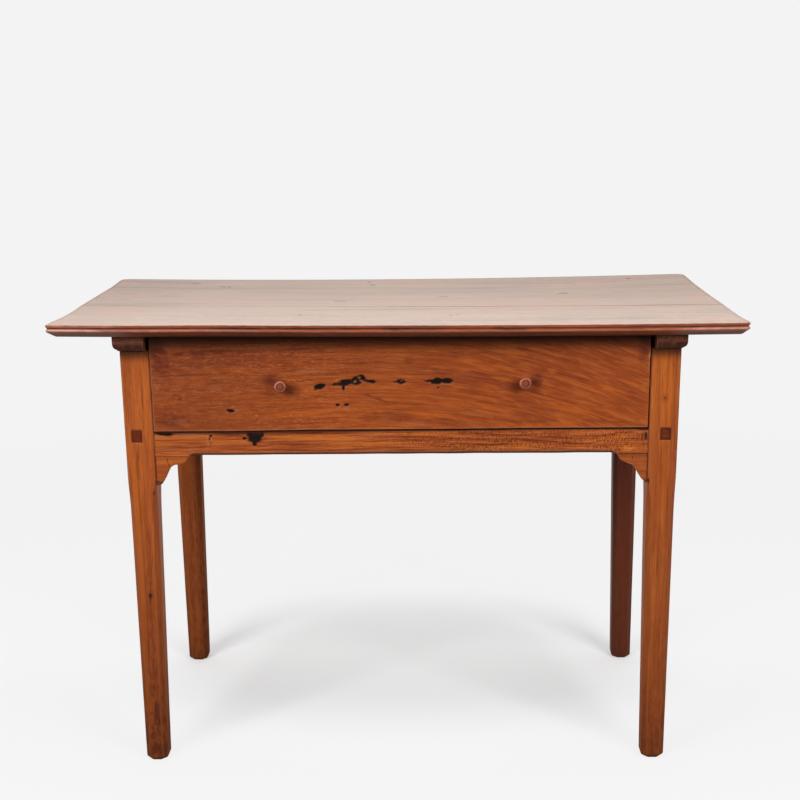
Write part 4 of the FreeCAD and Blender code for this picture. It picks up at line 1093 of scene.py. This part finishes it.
def bracket_relief(side):
    def relief(points):
        x, y, z = points.T
        front = facing(y, BRACKET_Y[0])
        cracks = strokes(x, z, BRACKET_CRACKS[side]) * front
        tip = ease(z, 496, 487) * (1.0 if side < 0 else 0.45)
        shade = ease(z, 529.5, 532) * front
        # On the right bracket the rim along the shaped edge gets a faint painted highlight.
        rim = ease(z - follow(BRACKET_EDGES[side], np.abs(x)), 3.0, 1.0) * front
        return {"lift": -0.6 * cracks,
                "grime": 0.7 * cracks + 0.9 * tip + 0.35 * shade + 0.7 * leg_joint(x) * front,
                "pale": 0.10 * rim * (side > 0), "stain": 0.12 + 0.16 * (side > 0) + 0.35 * rim * (side < 0)}
    return relief


def make_front_frame():
    piece("rail_under_drawer", front_rail(), "rail", FRAME_BODY, timber(0, (0.05, 0.03), 50), rail_relief,
          uneven=0.08, nodes=["front_rail"])
    limits = (-LEG_INNER_X - TUCK, PATCH_INNER_X), (FACE_Y, FACE_Y + 6), PATCH_Z
    piece("rail_repair_patch", plank(limits, 1.3, 0.35, 3), "rail", FRAME_BODY, timber(0, (0.03, 0.06), 57),
          patch_relief, uneven=0.04, nodes=["rail_patch"])
    for name, side in SIDES.items():
        piece("corner_bracket_" + name, bracket(side), "leg", FRAME_BODY, timber(0, (0.05, 0.02), 60 + side),
              bracket_relief(side), nodes=["bracket_" + name])


# ================================================================ drawer

DRAWER_X = (-389.3, 388.2)
DRAWER_FRONT_Y = (-214.5, -194.5)
DRAWER_FRONT_Z = (574.9, 726.2)
DRAWER_CLEARANCE = 1.7

# Marks on the drawer front: gouges, the pale cores of some, painted shadows and stains round the knobs, dusty
# rims and patches, stains, glows, lines.
GOUGES = ((-126.2, 645.4, 10.2, 4.5, 8, 1.7), (-132.6, 640.6, 3.2, 1.5, 20), (43.0, 652.6, 8.5, 1.2, 0, 1.3),
          (-88.3, 650.8, 16.5, 5.4, 12, 1.5), (-101, 648.6, 8, 2.0, 4, 1.2), (-89.5, 643.5, 2.6, 4.6, 0, 1.4),
          (-65.5, 654.6, 11.5, 7.6, 4), (-45.5, 652.6, 11, 2.8, -6, 1.3), (-62, 660.5, 6, 3.2),
          (1.0, 652.2, 8.0, 4.6, 0, 1.6), (-8.4, 651.4, 3.4, 0.9, 0, 1.3), (56.1, 652.9, 12.0, 4.8, 0, 1.7),
          (72.0, 652.9, 9.5, 4.4, 0, 1.7), (-99, 615.2, 3.2, 2.4, 30), (-85, 615.6, 3.8, 2.3, -8),
          (-267.6, 606.8, 7.0, 3.2, -4, 1.4), (58.8, 642.3, 1.7, 1.5))
PALE_CORES = ((-59.5, 652.6, 6.0, 2.4, -28, 1.4), (-71, 652.4, 3.6, 2.2, 30), (-64.5, 658.6, 2.8, 1.6),
              (1.4, 653.2, 2.4, 1.3), (-96, 651.6, 4.0, 1.0, 10))
KNOB_SHADOWS_AND_STAINS = ((-172, 639, 24, 15), (-202, 656, 24, 15), (179, 645, 22, 15), (210, 655, 20, 18))
DUSTY_RIMS = ((-256.2, 607.4, 2.8, 2.0), (-85.0, 610.0, 4.0, 2.0), (-99.5, 610.6, 2.4, 1.4),
              (58, 647.4, 11, 1.1), (76, 648.0, 7, 1.1), (-92, 657.4, 9, 1.1, 12), (-119, 640.0, 5, 1.1, 20),
              (-53, 659.0, 4, 1.2, -30))
DUSTY_PATCHES = ((-383.5, 643, 4.6, 11.5), (-289.7, 643.0, 10, 7), (-347.3, 588.5, 12, 5),
                 (-383.8, 597.6, 2.4, 1.4), (120, 600, 30, 4, -6), (20, 583, 26, 3))
FRONT_STAINS = ((-345.2, 626.5, 2.8, 2.4), (-268.2, 585.6, 3.6, 1.4), (-383.8, 595.4, 2.8, 1.4),
                (211.1, 653.0, 11, 10), (15.1, 686, 10, 6), (-4.7, 589.9, 8, 2.5), (-50.2, 590.2, 8, 2.5),
                (-38, 626, 24, 2.2, -20, 1.2), (-300, 700, 60, 5, 3), (-150, 702, 40, 4, -2),
                (80, 696, 60, 4, 2), (300, 690, 40, 5, -8), (-372, 690, 12, 26), (376, 700, 8, 20),
                (-358, 592, 26, 10), (-20, 596, 50, 8), (60, 588, 40, 6))
FRONT_GLOWS = ((-143, 639, 14, 6), (-270, 672, 40, 8, -2), (182, 580.8, 44, 3.6), (120, 676, 60, 7, -5),
               (320, 640, 34, 10, -16), (260, 610, 40, 6, -12), (-180, 600, 60, 5, 2), (40, 600, 50, 6, -3),
               (-330, 655, 30, 6))
FRONT_LINES = ((36.6, 652.5, 47, 652.7, 0.8), (-300, 615, -180, 618, 0.8), (-386, 662, -250, 668, 0.9),
               (-240, 690, -90, 694, 0.8), (-60, 668, 60, 672, 0.8), (90, 640, 190, 628, 0.8),
               (110, 622, 240, 600, 0.8), (220, 690, 330, 668, 0.9), (250, 640, 380, 606, 0.8),
               (-380, 610, -290, 606, 0.8), (-60.4, 633.8, -16.9, 617.5, 1.3), (10, 618, 100, 610, 0.8),
               (-200, 585, -80, 588, 0.8), (260, 590, 372, 584, 0.9), (100, 706, 250, 700, 0.8))
SCRATCHES = ((-177, 673.0, -169, 673.4, 0.8), (-168.6, 669.4, -114.2, 668.6, 0.7),
             (-140, 665.4, -114.3, 665.7, 0.6), (-150, 655, -136, 651, 0.6), (-240, 640, -222, 638, 0.6))
PURPLE_STAINS = ((201, 587.5, 34, 2.4),)


def drawer_low(x):
    """The front's lower edge follows the rail's worn upper edge."""
    return follow(RAIL_TOP_LINE[:-2] + ((392, 574.5),), x) + DRAWER_CLEARANCE


def run_out(points):
    """The drawer front's grain slopes down, more and more, towards its right end."""
    start, full, slope = -100, 300, 0.33
    along = np.clip(points[:, 0] - start, 0, None)
    reach = full - start
    fall = np.where(along < reach, slope * along ** 2 / (2 * reach), slope * (along - reach / 2))
    return np.stack([np.zeros(len(points)), fall], axis=1)


def drawer_rubs_and_highlight(points):
    """Pale worn stretches of the drawer front's sides, and a painted highlight along its lower arris."""
    x, _, z = points.T
    right = ease(np.abs(x - 386.6), 1.6, 0.6) * ease(np.abs(z - 684), 15, 9)
    right = right * ease(noise(points, (1000, 1000, 5), 41), -0.5, 0.2)
    left = ease(np.abs(x + 387.9), 1.3, 0.5) * ease(noise(points, (1000, 1000, 12), 43), -0.5, 0.3)
    return right, left, ease(z - drawer_low(x), 3.4, 1.4)


def drawer_front_relief(points):
    x, y, z = points.T
    front = facing(y)
    gouges, cores, rims, patches, stains, glows = blot_sets(
        x, z, GOUGES, PALE_CORES, DUSTY_RIMS, DUSTY_PATCHES, FRONT_STAINS, FRONT_GLOWS, ragged=0.4, seed=70)
    thin, scratches = (strokes(x, z, marks) for marks in (FRONT_LINES, SCRATCHES))
    right_rub, left_rub, lower_arris_highlight = drawer_rubs_and_highlight(points)
    # Painted shadow under the top's overhang and in the upper left corner, and painted shadows in both upper
    # corners.
    painted_shadow = np.maximum(0.85 * ease(z, 690, 722), 0.72 * ease(x, -364, -387) * ease(z, 686, 712))
    corner_shadows = ease(np.abs(x), 356, 388) * ease(z, 684, 712) * (1 + 0.4 * (x > 0))
    golden = ease(z, 672, 600) * ease(noise(points, (90, 1000, 20), 91), -0.8, 0.5)
    # Painted shade along the gap above the rail.
    lower_gap_shade = ease(z - drawer_low(x), 1.6, 0.6)
    marks = {"lift": -1.6 * gouges - 0.15 * scratches,
             "hole": np.maximum(gouges * (1 - 0.75 * cores), painted_shadow),
             "grime": 0.4 * gouges * (1 - cores) + 0.35 * corner_shadows + 0.85 * lower_gap_shade,
             "stain": 0.38 * stains + 0.32 * thin + 0.35 * blots(x, z, PURPLE_STAINS, seed=5)
             + 0.35 * corner_shadows + 0.10 + 0.42 * ease(x, -110, -300) + 0.72 * soft_spots(x, z, KNOB_SHADOWS_AND_STAINS),
             "pale": 0.36 * cores + 0.30 * rims + 0.13 * patches + 0.85 * right_rub + 0.30 * left_rub
             + 0.35 * scratches + 0.40 * lower_arris_highlight,
             "glow": 0.32 * glows + 0.24 * golden, "wear": 0.25 * lower_arris_highlight + 0.35 * scratches}
    marks = {key: value * front for key, value in marks.items()}
    marks["lift"] += 0.12 * noise(points, (60, 1000, 20), 77)
    return marks


def make_drawer_front():
    edge, reach = 1.5, 30
    low, high = DRAWER_FRONT_Z
    points, quads = block(board_lines(*DRAWER_X, 1.4, edge), board_lines(*DRAWER_FRONT_Y, 4, edge),
                          lines(low, 0.5, low + edge, 1.3, high - edge, 0.5, high))
    points = worn_edges(points, 1.0, 21)
    share = np.clip(1 - (points[:, 2] - low) / reach, 0, 1)
    points[:, 2] += (drawer_low(points[:, 0]) - low) * share
    piece("drawer_front_board", (points, quads), "drawer_front", DRAWER_BODY,
          timber(0, (0.03, 0.05), 71, bend=run_out), drawer_front_relief, nodes=["drawer_front"])


KNOBS = {"left": (-186.4, 648.8, 1.0), "right": (193.6, 652.3, 1.04)}
KNOB_PROFILE = ((0.3, 5.9), (-1.2, 5.7), (-4.0, 5.6), (-5.7, 5.8), (-7.6, 6.7), (-9.4, 7.9), (-11.2, 8.8),
                (-13.0, 9.2), (-15.0, 9.3), (-16.8, 9.25), (-17.7, 9.0), (-18.4, 8.5), (-18.85, 7.8),
                (-19.0, 7.1), (-18.95, 6.6), (-18.6, 6.2), (-18.35, 5.8), (-18.4, 5.0), (-18.5, 3.5),
                (-18.55, 1.8))
KNOB_POINTS = 48


def knob_relief(x, z):
    def relief(points):
        across, up, out = points[:, 0] - x, points[:, 2] - z, points[:, 1] - FACE_Y
        away = np.hypot(across, up)
        upper_left = -0.6 * across + 0.8 * up
        face = ease(out, -17.0, -18.2)
        # The rim's upper left is paled, partly as rubbed wear and partly as a painted highlight; the lower
        # right gets painted shade.
        rubbed_and_highlight = ease(upper_left, 1.0, 6.5) * ease(np.abs(away - 7.2), 2.0, 0.4) * face
        recess = ease(away, 6.6, 5.4) * ease(away, 3.6, 5.2) * face
        shaded = ease(-upper_left, 0.0, 8.0) * face
        return {"pale": 0.75 * rubbed_and_highlight, "grime": 0.5 * ease(out, -6, -2) + 0.50 * recess + 0.40 * shaded}
    return relief


def make_knobs():
    turns = np.linspace(0, 2 * math.pi, KNOB_POINTS, endpoint=False)
    for name, (x, z, scale) in KNOBS.items():
        rings = [np.stack([x + radius * scale * np.cos(turns), np.full(KNOB_POINTS, FACE_Y + y),
                           z + radius * scale * np.sin(turns)], axis=1) for y, radius in KNOB_PROFILE]
        piece("turned_knob_" + name, loft(rings), "knob", DRAWER_BODY,
              timber(0, (0.006, 0.004), 90, wander=0.0), knob_relief(x, z), uneven=0.1,
              nodes=["knob_" + name])


# ================================================================ CAD nodes that stay

CAD_FINISHES = {
    "secondary_x": ("drawer_stops", "drawer_back", "drawer_bottom_front", "drawer_bottom_back"),
    "secondary_y": ("drawer_runner_left", "drawer_runner_right", "drawer_guide_left", "drawer_guide_right",
                    "drawer_side_left", "drawer_side_right"),
    "pegs": ("joint_pegs",),
    "iron": ("top_nails", "guide_nails", "bracket_brads", "drawer_bottom_nails"),
}


def finish_cad_node(made, material):
    """Old-wood or iron finish, and worn edges, for a node whose own shape is shown."""
    made.data.materials.clear()
    made.data.materials.append(MATERIALS[material])
    merge = made.modifiers.new("merge_flat_faces", "DECIMATE")
    merge.decimate_type = "DISSOLVE"
    merge.angle_limit = math.radians(2)
    edge = made.modifiers.new("worn_edges", "BEVEL")
    edge.width = (0.25 if material == "iron" else 0.8) * MM
    edge.segments = 2
    edge.limit_method = "ANGLE"
    edge.harden_normals = True


make_top()
make_cleats()
make_legs()
make_aprons()
make_front_frame()
make_drawer_front()
make_knobs()
for finish, node_names in CAD_FINISHES.items():
    for node_name in node_names:
        finish_cad_node(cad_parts[node_name], finish)


# ================================================================ floor, light and camera

FLOOR_HALF = 6.0
BACKGROUND = 0.898
SHADED_SHARES = (0.10, 0.88)
SHADE_MIDDLE_Y = 0.16
SHADE_HALVES = (0.60, 0.43)
GAIN_REACH = (0.0, 0.24)
FLOOR_GAINS = (0.90, 1.08)
FLOOR_BOUNCE = 0.10
FLOOR_FADE = (1.2, 2.6)


def floor_material():
    """Pale studio floor. A share of its brightness, most under the table, takes the table's shadow. It
    fades out before its far edge into the pale backdrop."""
    material = bpy.data.materials.new("studio_floor")
    g = Graph(material)
    place = g.place()
    centred = g.node("VectorMath", {0: place, 1: (0, SHADE_MIDDLE_Y, 0)}, operation="SUBTRACT")
    away = g.length(g.stretch(centred, (1 / SHADE_HALVES[0], 1 / SHADE_HALVES[1], 0)))
    share = g.remap(away, 1.0, 0.5, *SHADED_SHARES)
    gain = g.remap(g.split(place)[1], *GAIN_REACH, *FLOOR_GAINS)
    seen = g.ray_seen()
    level = g.node("Mix", {0: seen, 2: FLOOR_BOUNCE, 3: g.times(share, gain)})
    lit = g.node("BsdfDiffuse", {"Color": g.join(level, level, level)})
    plain = g.node("Emission", {"Strength": g.times(seen, g.times(g.less(1.0, share), BACKGROUND))})
    whole = g.node("AddShader", {0: lit, 1: plain})
    far = g.remap(g.length(place), *FLOOR_FADE)
    surface = g.node("MixShader", {0: far, 1: whole, 2: g.node("BsdfTransparent", {})})
    g.node("OutputMaterial", {"Surface": surface})
    return material


def make_floor():
    mesh = bpy.data.meshes.new("studio_floor")
    corners = [(x * FLOOR_HALF, y * FLOOR_HALF, 0) for x, y in ((-1, -1), (1, -1), (1, 1), (-1, 1))]
    mesh.from_pydata(corners, [], [(0, 1, 2, 3)])
    mesh.materials.append(floor_material())
    floor = bpy.data.objects.new("studio_floor", mesh)
    bpy.context.scene.collection.objects.link(floor)


def make_world():
    """Soft light from behind and above the table, less from the front. What is seen is an even pale tone."""
    world = bpy.data.worlds.new("studio")
    bpy.context.scene.world = world
    g = Graph(world)
    _, y, z = g.split(g.node("TexCoord", {}, output=0))
    glow = g.most(g.remap(y, -0.3, 0.7, 0.03, 0.75), g.remap(z, 0.4, 1.0, 0.0, 0.50))
    level = g.node("Mix", {0: g.ray_seen(), 2: glow, 3: BACKGROUND})
    light = g.node("Background", {"Color": (1, 1, 1, 1), "Strength": level})
    g.node("OutputWorld", {"Surface": light})


# Place, size and power of each lamp.
LAMPS = {"key_left": ((-1.40, -1.75, 1.52), 1.0, 35.0), "key_right": ((1.40, -1.75, 1.52), 1.0, 33.0),
         "overhead": ((0.0, -0.6, 2.4), 1.6, 22.0)}
LAMP_TARGET = Vector((0.0, 0.0, 0.55))


def make_lamps():
    for name, (place, size, power) in LAMPS.items():
        lamp = bpy.data.lights.new(name, "AREA")
        lamp.shape = "SQUARE"
        lamp.size = size
        lamp.energy = power
        made = bpy.data.objects.new(name, lamp)
        made.location = place
        made.rotation_euler = (LAMP_TARGET - Vector(place)).to_track_quat("-Z", "Y").to_euler()
        bpy.context.scene.collection.objects.link(made)


CAMERA_PLACE = (0.04812, -2.20637, 1.10511)
CAMERA_PITCH = math.radians(14.927)
CAMERA_YAW = math.radians(-0.0745)
CAMERA_ROLL = math.radians(-0.3128)
SENSOR_WIDTH = 36.0
LENS = 58.925
CAMERA_SHIFT = 0.0375


def make_camera():
    data = bpy.data.cameras.new("camera")
    data.sensor_width = SENSOR_WIDTH
    data.lens = LENS
    data.shift_x = -CAMERA_SHIFT
    data.shift_y = CAMERA_SHIFT
    camera = bpy.data.objects.new("camera", data)
    forward = Vector((math.sin(CAMERA_YAW) * math.cos(CAMERA_PITCH),
                      math.cos(CAMERA_YAW) * math.cos(CAMERA_PITCH), -math.sin(CAMERA_PITCH)))
    level_right = Vector((math.cos(CAMERA_YAW), -math.sin(CAMERA_YAW), 0.0))
    level_up = level_right.cross(forward)
    right = level_right * math.cos(CAMERA_ROLL) + level_up * math.sin(CAMERA_ROLL)
    up = level_up * math.cos(CAMERA_ROLL) - level_right * math.sin(CAMERA_ROLL)
    turn = Matrix((right, up, -forward)).transposed().to_4x4()
    camera.matrix_world = Matrix.Translation(CAMERA_PLACE) @ turn
    bpy.context.scene.collection.objects.link(camera)
    bpy.context.scene.camera = camera


make_floor()
make_world()
make_lamps()
make_camera()
bpy.context.scene.view_settings.view_transform = "Standard"
